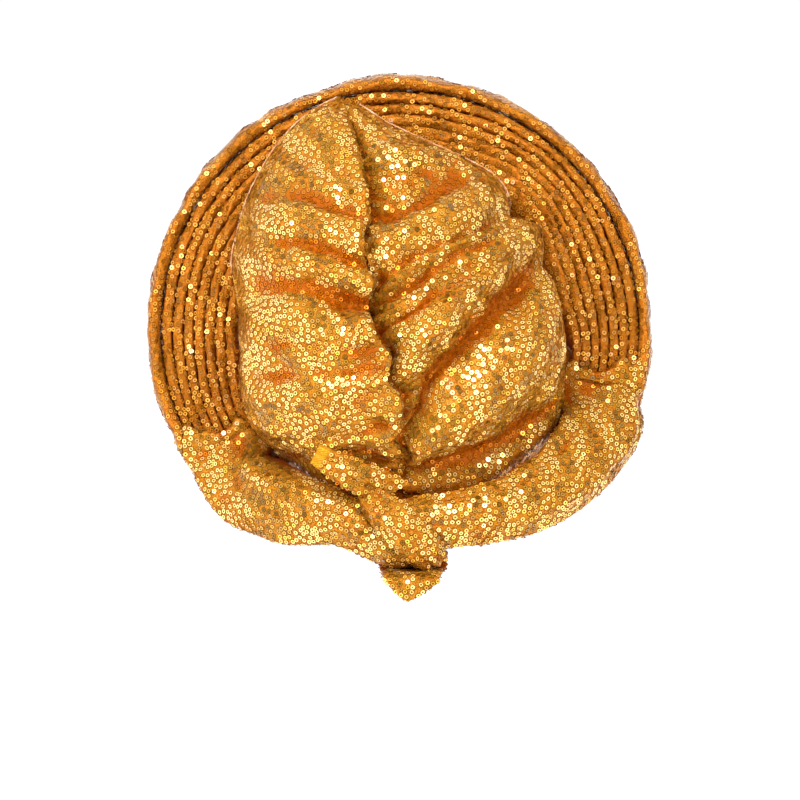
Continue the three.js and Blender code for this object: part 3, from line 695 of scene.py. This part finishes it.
def outer_wrap():
    back = ridge_depth(PLEAT_COUNT) - CLOTH
    lip = math.degrees(2 * SEAT / FAN_RADIUS)
    angles = np.linspace(LEFT_END - MOUTH_LAP - lip, RIGHT_END + MOUTH_LAP + lip, 236)[:, None]
    row = row_at(WRAP_SECTION, np.linspace(0, 1, 46))
    opened = lerp(back, WRAP_FRONT, row["along"])[None, :]
    closed = GATHER_Y + (row["along"][None, :] - 0.5) * MOUTH_DEPTH * 0.8
    y = lerp(opened, closed, gathered(angles))
    radius = FAN_RADIUS - CLOTH / 2 - row["inset"][None, :] * (WRAP_WIDTH - CLOTH)
    along = np.radians(angles) * FAN_RADIUS + 0 * y
    outside = smooth((1 - row["inset"][None, :]) / 0.4)
    small = 0.5 * waves(10, 12, 40, 41)(along, y * 0.5)
    large = 0.5 * waves(8, 40, 120, 42)(along, y)
    radius = radius + outside * (small + large)
    points = around(radius, angles, y + 0.6 * waves(9, 14, 50, 43)(along, radius) * (1 - gathered(angles)))
    normals = turned(grid_normals(points), unit(outwards(angles)), (118, 23))
    return points, normals, creases_of(points, normals, 30, 1.0)


wrap_points, wrap_normals, wrap_crease = outer_wrap()
wrap = cloth_object("wrap_cloth", wrap_points, wrap_crease, pleat_net)
keep = all_but(wrap_points, columns=(3, 0))
places = scatter(wrap_points, wrap_normals, wrap_crease, keep, SEQUIN_SPACING, 23)
wrap_sequins = sequins("wrap_sequins", *places, pleat_sequins, sides=9, seed=33)

# The bag over the back of the head.

EDGE_NAMES = "angle reach swell tuck behind bow"
BAG_LEFT = table(EDGE_NAMES, [
    (104.4, 1.46, 1.46, 0, 1, 0), (114, 1.415, 1.415, 0, 1, 0),
    (124, 1.34, 1.34, 0, 1, 0), (133, 1.267, 1.267, 0, 1, 0),
    (141.5, 1.203, 1.203, 0, 1, 0), (149, 1.146, 1.146, 0, 1, 0),
    (157, 1.105, 1.11, 0, 1, 0), (168, 1.01, 1.03, 0.2, 1, 0),
    (181, 0.955, 0.96, 0.9, 1, 0), (193, 0.955, 0.99, 1, 1, 0.02),
    (204, 0.955, 1.03, 1, 1, 0.05), (213, 0.955, 1.05, 1, 1, 0.08),
    (219, 0.965, 1.05, 1, 1, 0.03), (224, 1.02, 1.03, 1, 0.7, 0.07),
    (228, 1.1, 1.06, 1, -0.3, 0.12), (238, 1.13, 1.06, 1, -0.9, 0.12),
])
BAG_RIGHT = table(EDGE_NAMES, [
    (101, 1.4, 1.4, 0, 1, 0), (92.5, 1.245, 1.245, 0, 1, 0),
    (80.5, 1.148, 1.148, 0, 1, 0), (68.5, 1.112, 1.112, 0, 1, 0),
    (57.5, 1.095, 1.095, 0, 1, 0), (49.5, 1.03, 1.03, 0, 1, 0),
    (44.7, 0.965, 0.98, 0, 1, 0), (38.5, 1.065, 1.07, 0, 1, 0),
    (31.5, 1.02, 1.035, 0.1, 1, 0), (24, 0.955, 1.0, 0.5, 1, 0.02),
    (14, 0.955, 0.975, 1, 1, 0.05), (2, 0.955, 0.965, 1, 1, 0.08),
    (-11, 0.965, 1.01, 1, 1, 0.08), (-24, 1.04, 1.085, 1, 0.8, 0.15),
    (-35, 1.18, 1.14, 1, -0.3, 0.22), (-47, 1.19, 1.14, 1, -0.9, 0.22),
])
BAG_SEAM = table("across up back furrow turn", [
    (-0.345, 1.4, 0.22, 0.25, 1), (-0.325, 1.32, 0.37, 0.5, 1),
    (-0.285, 1.19, 0.51, 0.75, 1), (-0.235, 1.01, 0.66, 0.9, 1),
    (-0.19, 0.82, 0.8, 1, 1), (-0.18, 0.64, 0.89, 1, 1),
    (-0.19, 0.46, 0.95, 1, 1), (-0.16, 0.26, 0.98, 1, 1),
    (-0.17, 0.07, 1.0, 1, 1), (-0.08, -0.13, 1.0, 0.9, 1),
    (-0.04, -0.32, 0.99, 0.9, 1), (0.0, -0.5, 0.96, 0.8, 1),
    (0.01, -0.68, 0.89, 0.5, 1), (0.02, -0.8, 0.78, 0.2, 1.3),
    (0.03, -1.0, 0.7, 0, 1.8), (0.03, -1.16, 0.62, 0, 1.8),
])

# The bag's folds, the coarse ones first. A row gives the share of the bag's height where the fold leaves
# the seam and where it meets the edge, its rise (below 0 it is a crease), and its spread. Some rows add how
# far it hooks near the seam, and over what share of the side it rises.
PLAIN_FOLD = (0, 0.4)
LEFT_FOLDS = [
    (0.335, 0.235, -0.5, 0.03, 0, 1.0), (0.4, 0.31, 0.6, 0.04),
    (0.445, 0.35, -0.5, 0.024, 0, 0.8), (0.49, 0.395, 0.6, 0.032),
    (0.538, 0.455, -1.3, 0.03, 0, 1.1), (0.6, 0.55, 0.9, 0.06),
    (0.71, 0.76, 0.5, 0.07), (0.29, 0.19, 0.25, 0.02),
    (0.365, 0.27, 0.25, 0.014), (0.57, 0.5, 0.35, 0.016),
    (0.62, 0.6, -0.25, 0.014), (0.685, 0.72, 0.3, 0.02),
    (0.78, 0.85, -0.35, 0.024), (0.85, 0.93, -0.35, 0.02),
]
RIGHT_FOLDS = [
    (0.23, 0.18, 0.6, 0.055), (0.335, 0.26, -0.9, 0.042),
    (0.445, 0.305, 0.9, 0.045), (0.545, 0.47, -0.8, 0.03, 0, 1.0),
    (0.7, 0.52, 1.2, 0.045), (0.79, 0.59, -1.7, 0.044, 0.09, 0.4),
    (0.86, 0.78, 1.2, 0.075, 0.04, 0.4), (0.93, 0.93, -1.0, 0.034),
    (0.28, 0.215, -0.3, 0.016), (0.4, 0.29, 0.3, 0.018),
    (0.49, 0.4, -0.3, 0.014, 0, 0.8), (0.52, 0.42, 0.35, 0.014),
    (0.6, 0.56, -0.5, 0.012), (0.63, 0.57, 0.3, 0.014),
    (0.83, 0.72, 0.25, 0.02, 0.05, 0.4), (0.9, 0.85, -0.3, 0.016),
    (0.955, 0.97, 0.4, 0.016),
]

SIDE_COLUMNS = 12


def on_ridges(radius, angle):
    layer = PLEAT_COUNT - (WRAP_INNER - radius) / pitch_at(angle)
    return around(radius, angle, ridge_depth(layer) - LAY - SEAT)


def arc_point(base, crest, bow, turn, u):
    lateral = 1 - math.cos(u * math.pi / 2)
    point = lerp(base, crest, lateral)
    point[..., 1] = lerp(base[..., 1], crest[..., 1], math.sin(u * math.pi / 2) ** turn)
    point[..., 2] -= bow * RING_INNER * math.sin(lateral * math.pi)
    return point


def bag_side(edge, seam):
    """One side of the bag's rows, from its edge to the seam, at the source's own columns."""
    seam_depth = -seam["back"] * BAG_BACK
    crest = stack(seam["across"] * RING_INNER, seam_depth, seam["up"] * RING_INNER - FAN_CENTRE_DROP)
    reach = edge["reach"] * RING_INNER
    laid = on_ridges(reach, edge["angle"])
    swollen = around(edge["swell"] * RING_INNER, edge["angle"], -RING_BACK - edge["behind"] * BAG_SWELL)
    waist_depth = lerp(BAG_SWELL / 2, -2 * LAY, edge["behind"]) - RING_BACK
    waist = around(reach, edge["angle"], waist_depth)
    inside_layer = 0.5 - RIDGE_HALF - 0.15 * LAY / pitch_at(edge["angle"])
    lining = fan_point(inside_layer, BAG_TUCK, edge["angle"])
    tucked = lerp(waist, lining, np.maximum(0.06, smooth(edge["behind"] * 1.4 - 0.4))[:, None])
    flap = bump(edge["angle"] - 44, 3.4)[:, None]
    columns = []
    for j in range(SIDE_COLUMNS + 1):
        laid_share = 1 - (1 - j / SIDE_COLUMNS) ** 1.5
        swollen_share = 1 - (1 - max(0, j - 2) / (SIDE_COLUMNS - 2)) ** 1.5
        on_laid = arc_point(laid, crest, edge["bow"], seam["turn"], laid_share)
        on_swollen = arc_point(swollen, crest, edge["bow"], seam["turn"], swollen_share)
        on_tucked = (tucked, waist, on_swollen)[min(j, 2)]
        if j == 0:
            on_laid = lerp(on_laid, lining, flap)
        columns.append(lerp(on_laid, on_tucked, smooth(edge["tuck"])[:, None]))
    return np.stack(columns, axis=1), crest


def crown_bag():
    rows, side_points = 216, 92
    share = np.linspace(0, 15 / 14, rows)
    seam = row_at(BAG_SEAM, share * 14 / 15)
    heart = np.array([0, -RING_BACK + BAG_SWELL, -FAN_CENTRE_DROP])
    halves = []
    for edges, folds, side in ((BAG_LEFT, LEFT_FOLDS, -1), (BAG_RIGHT, RIGHT_FOLDS, 1)):
        coarse, crest = bag_side(row_at(edges, share * 14 / 15), seam)
        q = 1 - (1 - np.linspace(0, 1, side_points)) ** 1.3
        points = np.swapaxes(spline(np.swapaxes(coarse, 0, 1), q * SIDE_COLUMNS), 0, 1)
        q, down = np.broadcast_arrays(q[None, :], share[:, None])
        bent = down + 0.012 * np.sin(np.pi * q) + 0.006 * waves(6, 30, 80, 64 + side)(q * 90, down * 240)
        lift = 0
        for start, to, rise, spread, *more in folds:
            hook, ease = more or PLAIN_FOLD
            width = spread * (1.25 - 0.55 * q)
            off = np.abs(bent - lerp(to, start, q) - hook * smooth((q - 0.72) / 0.28)) / width
            shape = np.exp(-(off**1.35)) if rise < 0 else np.exp(-(off**2))
            lift = lift + rise * FOLD_HEIGHT * shape * smooth(q / ease)
        # Gathers fan out from the ruched seam, and finer ones lie nearer to it.
        ruched = smooth((down - 0.3) / 0.12) if side < 0 else smooth((down - 0.08) / 0.1)
        rays = np.sin(2 * np.pi * (down * 15 + 0.6 * np.sin(down * 21 + side) + q * 1.3 * side) + 1.3 * side)
        fine = np.sin(2 * np.pi * (down * 34 + 0.8 * np.sin(down * 13 - side) + q * 2.1) + side)
        lift = lift + 1.1 * ruched * rays * smooth((q - 0.55) / 0.4)
        lift = lift + 0.9 * ruched * fine * smooth((q - 0.72) / 0.2)
        crumple = 0.45 + 0.55 * ruched
        lift = lift + 0.75 * crumple * waves(14, 9, 30, 70 + side)(q * 110, down * 240) * smooth(q / 0.2)
        lift = lift + 1.0 * crumple * waves(7, 34, 90, 60 + side)(q * 100, down * 240) * smooth(q / 0.3)
        # Relief near the edges goes backwards, so that it leaves the bag's outline where it is.
        out = unit(points - heart)
        out = unit(out + BACKWARDS * (2.2 * (1 - smooth((q - 0.1) / 0.6)))[..., None])
        points = points + out * lift[..., None]
        # The furrow is steep on the left, where a lobe stands over it, and it rises slowly on the right.
        from_seam = np.hypot(points[..., 0] - crest[:, None, 0], points[..., 2] - crest[:, None, 2])
        if side < 0:
            furrow = bump(from_seam, 2.6) - 0.12 * bump(from_seam - 7, 8)
        else:
            hollow = np.maximum(bump(down - 0.29, 0.1), bump(down - 0.7, 0.13))
            furrow = 0.6 * bump(from_seam, 6) + (0.3 + 0.3 * hollow) * bump(from_seam - 4 * hollow, 14)
        points[..., 1] += seam["furrow"][:, None] * SEAM_DEPTH * furrow
        halves.append(points if side < 0 else points[:, ::-1][:, 1:])
    points = np.concatenate(halves, axis=1)
    # The seam wanders, and the lobes on the left lap over it.
    place = np.arange(points.shape[1])[None, :]
    from_seam = np.abs(place - (side_points - 1))
    near = bump(from_seam, 20) * smooth((share - 0.3) / 0.12)[:, None] * smooth((1 - share) / 0.12)[:, None]
    wobble = 3.4 * np.sin(share * 43 + 0.6) + 1.8 * np.sin(share * 79 + 1)
    points[..., 0] += near * wobble[:, None]
    lap = bump(share - 0.68, 0.16)[:, None] * bump(place - (side_points - 17), 10)
    lap = lap + 0.5 * bump(share - 0.2, 0.16)[:, None] * bump(place - (side_points - 15), 9)
    points[..., 0] += 7.0 * lap
    points[..., 1] -= 3.0 * lap
    normals = turned(grid_normals(points), points - heart)
    crease = creases_of(points, normals, 60, 1.2)
    # Painted shade: the bag's lowest rows, which go in behind the rolls, are shaded fully.
    crease = np.maximum(crease, smooth((share - 0.93) / 0.05)[:, None])
    return points, normals, crease


bag_points, bag_normals, bag_crease = crown_bag()
bag = cloth_object("crown_bag_cloth", bag_points, bag_crease, crown_net)
keep = all_but(bag_points, rows=(3, 16), columns=(2, 2))
places = scatter(bag_points, bag_normals, bag_crease, keep, SEQUIN_SPACING, 24)
bag_sequins = sequins("crown_bag_sequins", *places, crown_sequins, seed=34)
bag_edges = []
for last, column in ((92, 1), (79, -2)):
    lifted = bag_points[2:last, column] + bag_normals[2:last, column] * 0.5
    bag_edges.append(lifted + BACKWARDS * 0.4)
bag_hem = hem("crown_bag_hem", bag_edges, 0.34, 2.0, 61)

# The knot and the rolls.

slant = math.radians(KNOT_SLANT)
KNOT = np.array([KNOT_SIDE, -HEAD_LENGTH / 2 - KNOT_BACK, -KNOT_DROP], dtype=float)
KNOT_AXIS = np.array([math.cos(slant), 0, math.sin(slant)])
KNOT_DOWN = np.array([math.sin(slant), 0, -math.cos(slant)])
ROLL_NAMES = "past out back width depth square"
LEFT_ROLL = table(ROLL_NAMES, [
    (0, 1, 0, 1, 1, 3.4),
    (5.5, 1.007, 0.05, 1, 0.96, 3.2),
    (14, 1.02, 0.3, 0.93, 0.88, 2.6),
    (25, 0.96, 0.65, 0.82, 0.78, 2.3),
    (38, 0.87, 0.88, 0.6, 0.67, 2.1),
    (46, 0.87, 0.95, 0.55, 0.62, 2),
])
RIGHT_ROLL = table(ROLL_NAMES, [
    (0, 1, 0, 1, 1, 3.4),
    (5.5, 1.007, 0.04, 1, 0.96, 3.2),
    (14, 1.035, 0.29, 0.9, 0.9, 2.6),
    (28, 1, 0.6, 0.8, 0.78, 2.3),
    (44, 0.925, 0.83, 0.68, 0.7, 2.1),
    (58, 0.865, 0.95, 0.6, 0.62, 2),
])

# How far a roll's mouth reaches over the pleats, how round its lip is, and the slant of the knot's band.
MOUTH_REACH = 2.6
LIP = 2.6
LIP_POINTS = 7
KNOT_SHEAR = 0.5


def cloth_roll(rows, side, seed):
    mouth = LEFT_END - MOUTH_LAP if side < 0 else RIGHT_END + MOUTH_LAP
    radius = rows["out"] * FAN_RADIUS - rows["width"] * MOUTH_WIDTH / 2
    centres = around(radius, mouth - side * rows["past"], lerp(GATHER_Y, KNOT[1], rows["back"]))
    hole_width = 2 * (KNOT_LONG - KNOT_THICK / 2 - SEAT)
    hole_depth = 2 * (KNOT_DEEP - KNOT_THICK / 2 - SEAT)
    inside = [(KNOT_BAND * 0.65, 0.82), (SEAT / 2, 1)]
    centres = np.concatenate([centres, [KNOT + KNOT_AXIS * side * distance for distance, _ in inside]])
    sizes = np.stack([rows["width"] * MOUTH_WIDTH, rows["depth"] * MOUTH_DEPTH, rows["square"]], axis=-1)
    sizes = np.concatenate([sizes, [(hole_width * fill, hole_depth * fill, 2) for _, fill in inside]])
    steps, sides = 120, 112
    share = np.linspace(0, 1, steps)
    place = share * (len(centres) - 1)
    centre = spline(centres, place)
    width, depth, square = spline(sizes, place).T
    near = 0.01 * (len(centres) - 1)
    last = len(centres) - 1
    ahead, behind = (spline(centres, np.clip(place + step, 0, last)) for step in (near, -near))
    along = unit(ahead - behind)
    tangent = -side * outwards(mouth + 90)
    first = smooth(1 - share / 0.09)[:, None]
    along = lerp(along, np.broadcast_to(tangent, along.shape), first)
    along = unit(lerp(along, -side * KNOT_AXIS, smooth((share - 0.55) / 0.4)[:, None]))
    deep = unit(BACKWARDS - along * (along @ BACKWARDS)[:, None])
    wide = np.cross(along, deep)
    turn = np.arange(sides) / sides * 2 * np.pi
    turn, down = np.broadcast_arrays(turn[None, :], share[:, None])
    power = (2 / square)[:, None]
    across = np.sign(np.cos(turn)) * np.abs(np.cos(turn)) ** power
    forth = np.sign(np.sin(turn)) * np.abs(np.sin(turn)) ** power
    creased = CREASE * np.sin(np.clip(down, 0, 1) * np.pi) ** 0.5
    relief = 1 - creased * (0.5 + 0.5 * np.cos(4 * turn + 5 * down))
    # Folds run along the roll and gather towards the knot.
    middle = smooth(down / 0.1) * smooth((1 - down) / 0.12)
    fan_out = np.sin(9 * turn + 7 * down + 1.2 * np.sin(3 * turn + seed) + seed)
    fine = np.sin(21 * turn - 6 * down + 1.5 * np.sin(5 * turn + 2 * seed))
    relief = relief + middle * (0.035 * fan_out + 0.015 * fine * smooth((down - 0.4) / 0.3))
    relief = relief + 0.022 * middle * waves(10, 14, 40, 80 + seed)(down * 170, turn * 24)
    relief = relief - 0.07 * smooth(1 - down / 0.03) ** 2
    offset = wide[:, None] * (width[:, None] / 2 * across * relief)[..., None]
    offset = offset + deep[:, None] * (depth[:, None] / 2 * forth * relief)[..., None]
    points = centre[:, None] + offset
    # The mouth's edge is scalloped where the pleats run in, and the cloth turns in round it.
    scallop = np.sin(7 * turn + seed) + 0.6 * np.sin(12 * turn + 2.3 * seed)
    outside = (centre[:1] - around(0, 0, centre[0, 1]))[:, None]
    outer = smooth(((unit(offset) * unit(outside)).sum(axis=-1) + 0.1) / 0.9)
    reach = MOUTH_REACH * (1 + 4.5 * outer) * smooth(1 - down / 0.16)
    scallop = 1.9 * scallop * smooth(1 - down / 0.07) + reach
    points = points - along[:1, None] * scallop[..., None]
    points = points - unit(outside) * (scallop**2 / (2 * FAN_RADIUS))[..., None]
    round_lip = np.linspace(2.6, 0.4, LIP_POINTS)[:, None, None]
    inwards = -unit(offset[:1])
    lip = points[:1] - along[:1, None] * np.sin(round_lip) * LIP + inwards * (1 - np.cos(round_lip)) * LIP
    points = np.concatenate([lip, points])
    middles = np.concatenate([np.repeat(centre[:1], LIP_POINTS, axis=0), centre])
    normals = turned(grid_normals(points, TUBE), points - middles[:, None], slice(12, None))
    crease = creases_of(points, normals, 40, 0.9)
    # Painted shade: past the mouth, the roll's faces that look upwards and not backwards lie in the hollow
    # under the bag and are shaded; no sequins are scattered where this is strongest.
    lower = smooth((np.linspace(-0.06, 1, len(points)) - 0.16) / 0.1)[:, None]
    recess_shade = lower * smooth((normals[..., 2] - 0.2) / 0.2) * smooth((normals[..., 1] + 0.35) / 0.2)
    return points, normals, np.maximum(crease, 1.2 * recess_shade)


rolls = {}
for name, rows, side, seed in (("left_wrap", LEFT_ROLL, -1, 1), ("right_wrap", RIGHT_ROLL, 1, 2)):
    points, normals, crease = cloth_roll(rows, side, seed)
    obj = cloth_object(name + "_cloth", points, crease, crown_net, TUBE)
    keep = all_but(points, rows=(1, 10)) & (crease < 1.05)
    places = scatter(points, normals, crease, keep, SEQUIN_SPACING, 25 + seed, TUBE)
    rolls[name] = (obj, [sequins(name + "_sequins", *places, crown_sequins, seed=35 + seed)])


def nape_knot():
    steps, across_points = 120, 44
    turn = (np.arange(steps) / steps * 2 * np.pi)[:, None]
    flare = 1 + 0.5 * np.maximum(0, np.sin(turn))
    shorter = 1 - 0.2 * smooth(np.cos(turn))
    t = np.linspace(0, 1, across_points)[None, :]
    ribs = 0.5 + 0.5 * np.cos(2 * np.pi * (3 * t + 0.5) + 0.8 * np.sin(turn * 2))
    ribs = ribs * smooth(t / 0.08) * smooth((1 - t) / 0.08) * KNOT_RIB
    gathers = 0.35 * waves(8, 8, 24, 91)(turn * 20, t * KNOT_BAND)
    ribs = ribs + gathers * smooth(t / 0.1) * smooth((1 - t) / 0.1)
    across = (t - 0.5) * KNOT_BAND * flare
    thick = KNOT_THICK / 2 * (1 - (2 * np.abs(t - 0.5)) ** 4)
    sheets = []
    for face in (1, -1):
        swell = (ribs if face > 0 else ribs * 0.3) + face * thick
        points = KNOT + KNOT_DOWN * ((KNOT_LONG * shorter + swell) * np.cos(turn))[..., None]
        points = points + BACKWARDS * ((KNOT_DEEP + swell) * np.sin(turn))[..., None]
        points = points + KNOT_AXIS * (across + 0 * turn)[..., None]
        # The band crosses the rolls on a steeper slant than the loop that it makes.
        points[..., 0] -= KNOT_SHEAR * (points[..., 2] - KNOT[2])
        sheets.append(points)
    return sheets


outer, inner = nape_knot()
loop = np.concatenate([outer, inner[:, ::-1]], axis=1)
shown = slice(outer.shape[1])
middle = KNOT + KNOT_AXIS * ((loop - KNOT) @ KNOT_AXIS)[..., None]
normals = turned(grid_normals(loop, LOOP), loop - middle, (slice(None), shown))
crease = np.zeros(loop.shape[:2])
crease[:, shown] = creases_of(outer, normals[:, shown], 12, 0.5)
knot = cloth_object("knot_cloth", loop, crease, crown_net, LOOP)
places = scatter(outer, normals[:, shown], crease[:, shown], all_but(outer), SEQUIN_SPACING, 28)
knot_sequins = sequins("knot_sequins", *places, crown_sequins, seed=38)

# The tails.

TAIL_NAMES = "along width back aside curl"
UPPER_TAIL = table(TAIL_NAMES, [
    (-0.08, 1.25, 0.02, 0, 0),
    (0.35, 1.1, 0.08, 0, 0.06),
    (0.75, 0.9, 0.1, 0, 0.06),
    (1.14, 0.7, 0.07, 0, 0),
])
LOWER_TAIL = table(TAIL_NAMES, [
    (0, 0.86, 0, -0.02, 0),
    (0.48, 0.82, 0.2, -0.04, 0.02),
    (0.58, 0.76, 0.76, -0.06, 0.02),
    (0.66, 0.7, 0.96, -0.06, 0.02),
    (0.79, 0.42, 0.98, -0.08, 0.03),
    (0.92, 0.05, 0.99, -0.14, 0),
])


def cloth_tail(rows, start, along, root, tip, length, width, seed):
    share = np.linspace(0, 1, 60)
    row = row_at(rows, share)
    across = unit(lerp(root, tip, share[:, None]))[:, None]
    side = np.linspace(-1, 1, 44)[None, :]
    curl = row["back"][:, None] + row["curl"][:, None] * (1 - side**2)
    ease = smooth(share / 0.25)[:, None]
    pleats = 0.9 * np.sin(2.6 * np.pi * side + 2 * share[:, None] + seed) * (1 - 0.5 * share[:, None]) * ease
    pleats = pleats + 0.5 * waves(8, 9, 26, 95 + seed)(share[:, None] * length, side * width / 2) * ease
    middle = start + along * (row["along"] * length)[:, None]
    points = middle[:, None] + BACKWARDS * (curl * length + pleats)[..., None]
    # The cut edges are a little ragged.
    ragged = 0.05 * waves(8, 3, 11, 97 + seed)(share[:, None] * length, side * 40)
    ragged = 1 + ragged * np.abs(side) ** 6 * ease
    sideways = side * ragged * row["width"][:, None] * width / 2 + row["aside"][:, None] * length
    points = points + across * sideways[..., None]
    normals = turned(grid_normals(points), BACKWARDS)
    thick = (TAIL_THICK / 2 * (1 - side**8) + 0.15)[..., None]
    front = points + normals * thick
    rear = points - normals * thick
    return front, rear, normals


tails = {}
knot_reach = KNOT_THICK / 2 + KNOT_RIB
upper_start = KNOT - KNOT_DOWN * (KNOT_LONG + knot_reach + SEAT)
lower_start = KNOT + np.array([LOWER_TAIL_SIDE, KNOT_DEEP + knot_reach + SEAT + TAIL_THICK / 2, 0])
upper_along = unit(np.array([-0.885, 0, 0.465]))
upper_tip = np.array([upper_along[2], 0.5, -upper_along[0]])
downwards, level = np.array([0.0, 0, -1]), np.array([1.0, 0, 0])
# Each tail's rows, start, direction, width direction at the root and at the tip, length and width.
upper_plan = (UPPER_TAIL, upper_start, upper_along, KNOT_AXIS, upper_tip, UPPER_TAIL_LENGTH, UPPER_TAIL_WIDTH)
lower_plan = (LOWER_TAIL, lower_start, downwards, level, level, LOWER_TAIL_LENGTH, LOWER_TAIL_WIDTH)
for name, plan, seed, bare_from in (("upper_tail", upper_plan, 1, 0.82), ("lower_tail", lower_plan, 2, 0.93)):
    front, rear, normals = cloth_tail(*plan, seed)
    loop = np.concatenate([front, rear[:, ::-1]], axis=1)
    flat_crease = creases_of(front, normals, 12, 0.5)
    crease = np.concatenate([flat_crease, 0 * flat_crease], axis=1)
    obj = cloth_object(name + "_cloth", loop, crease, crown_net, TUBE)
    share = np.linspace(0, 1, len(loop))[:, None]
    set_attribute(obj, "bare", np.broadcast_to(smooth((share - bare_from) / 0.04), loop.shape[:2]))
    keep = np.broadcast_to(share < bare_from + 0.02, front.shape[:2])
    front_places = scatter(front, normals, flat_crease, keep, SEQUIN_SPACING, 40 + seed)
    rear_places = scatter(rear, -normals, 0 * flat_crease, keep, SEQUIN_SPACING * 1.1, 44 + seed)
    both = [np.concatenate(pair) for pair in zip(front_places, rear_places)]
    tails[name] = (obj, [sequins(name + "_sequins", *both, crown_sequins, seed=48 + seed)])

# What each piece stands for, and the flat cloth that it was made from.

pieces = [
    (fan, [fan_back, fan_front], "pleated_fan", (1.36, 0.43), "gathered", ["outer_wrap"]),
    (wrap, [wrap_sequins], "outer_wrap", (0.62, 0.085), "folded", ["pleated_fan"]),
    (bag, [bag_sequins, bag_hem], "crown_bag", (0.36, 0.3), "gathered", ["pleated_fan"]),
    (*rolls["left_wrap"], "left_wrap", (0.15, 0.135), "folded", ["nape_knot"]),
    (*rolls["right_wrap"], "right_wrap", (0.175, 0.135), "folded", ["nape_knot"]),
    (knot, [knot_sequins], "nape_knot", (0.13, 0.026), "folded", ["left_wrap", "right_wrap"]),
    (*tails["upper_tail"], "upper_tail", (0.045, 0.046), "folded", ["nape_knot"]),
    (*tails["lower_tail"], "lower_tail", (0.062, 0.09), "folded", ["nape_knot"]),
]
for cloth, covers, node, flat, held, rests_on in pieces:
    for obj in (cloth, *covers):
        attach(obj, "root")
    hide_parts(node)

# The floor, the light and the camera.


def stage_sheet(name, corners, finish):
    sheet = mesh_from(name, corners, [(0, 1, 2, 3)], finish, smooth_faces=False)
    return sheet


FLOOR_LEVEL = -520
FLOOR_REACH = 30000
FLOOR_GREY = (0.93, 0.93, 0.93)
CARD_GREY = (0.1, 0.1, 0.1)
CARD_REACH = 3600
CARD_BACK = -3200
CARD_FOOT = -500
CARD_TOP = 2600

paint = material("pale_floor")
tones = [(0.3, tuple(0.985 * c for c in FLOOR_GREY)), (0.7, FLOOR_GREY)]
speckle = paint.ramp(paint.add("TexNoise", {"Scale": 3})["Fac"], tones)
glow = {"Base Color": speckle, "Roughness": 0.9, "Emission Color": WHITE, "Emission Strength": 0.62}
paint.feed(paint.shader, glow)
corners = [(-1, -1), (1, -1), (1, 1), (-1, 1)]
floor_corners = [(x * FLOOR_REACH, y * FLOOR_REACH, FLOOR_LEVEL) for x, y in corners]
stage_sheet("floor", floor_corners, paint.owner)

target = Vector((0, -0.04, -0.0849))


def aim(obj, back, distance):
    """Puts a light or the camera at a distance from the target, facing it."""
    obj.location = target + back * distance
    obj.rotation_euler = (-back).to_track_quat("-Z", "Y").to_euler()
    scene.collection.objects.link(obj)


def softbox(name, azimuth, elevation, distance, size, power):
    """An area light that faces the object. Azimuth 0 is behind the camera, and 90 to its right."""
    a, e = math.radians(azimuth), math.radians(elevation)
    data = bpy.data.lights.new(name, "AREA")
    data.shape = "RECTANGLE"
    data.size, data.size_y = size
    data.energy = power
    light = bpy.data.objects.new(name, data)
    light.visible_camera = False
    aim(light, Vector((math.sin(a) * math.cos(e), -math.cos(a) * math.cos(e), math.sin(e))), distance)


LIGHTS = [
    ("key", -26, 36, 1.9, (0.7, 0.7), 25),
    ("top", -4, 50, 1.9, (0.6, 0.6), 17),
    ("side", -44, 20, 1.9, (0.46, 0.46), 10),
    ("second", 24, 24, 1.9, (0.54, 0.54), 17),
    ("wide", -10, 62, 2.0, (2.2, 1.2), 4),
    ("left", -100, 18, 2.0, (1.4, 1.8), 6),
    ("right", 100, 18, 2.0, (1.4, 1.8), 6),
    ("far", 180, 40, 2.2, (2.4, 1.6), 6),
]
for name, *row in LIGHTS:
    softbox(name + "_light", *row)

# A grey card behind the lights keeps the sequins that face it from going white.
# It shows in reflections only.
card_paint = material("grey_card")
card_glow = {"Base Color": CARD_GREY, "Emission Color": WHITE, "Emission Strength": 0.1}
card_paint.feed(card_paint.shader, card_glow)
card_heights = (CARD_FOOT, CARD_FOOT, CARD_TOP, CARD_TOP)
card_corners = [(x * CARD_REACH, CARD_BACK, z) for (x, _), z in zip(corners, card_heights)]
card = stage_sheet("grey_card", card_corners, card_paint.owner)
card.visible_camera = False

scene.world = bpy.data.worlds.new("studio")
sky = Finish(scene.world, "BACKGROUND")
height = sky.add("SeparateXYZ", {0: sky.coordinates("Generated")})["Z"]
greys = [(0.0, 0.9), (0.5, 1.02), (0.58, 1.0), (0.7, 0.75), (1.0, 0.65)]
height = sky.maths("MULTIPLY_ADD", height, 0.5, 0.5)
shades = sky.ramp(height, [(place, (grey,) * 3) for place, grey in greys])
sky.feed(sky.shader, {"Color": shades, "Strength": 1.0})

CAMERA_DISTANCE = 8.0
FRAME_WIDTH = 0.496
SENSOR_WIDTH = 36
camera_data = bpy.data.cameras.new("camera")
camera_data.sensor_width = SENSOR_WIDTH
camera_data.lens = SENSOR_WIDTH * CAMERA_DISTANCE / FRAME_WIDTH
camera_data.clip_end = 60
camera = bpy.data.objects.new("camera", camera_data)
tilt = math.radians(3)
aim(camera, Vector((0, -math.cos(tilt), math.sin(tilt))), CAMERA_DISTANCE)
scene.camera = camera
scene.view_settings.view_transform = "Standard"
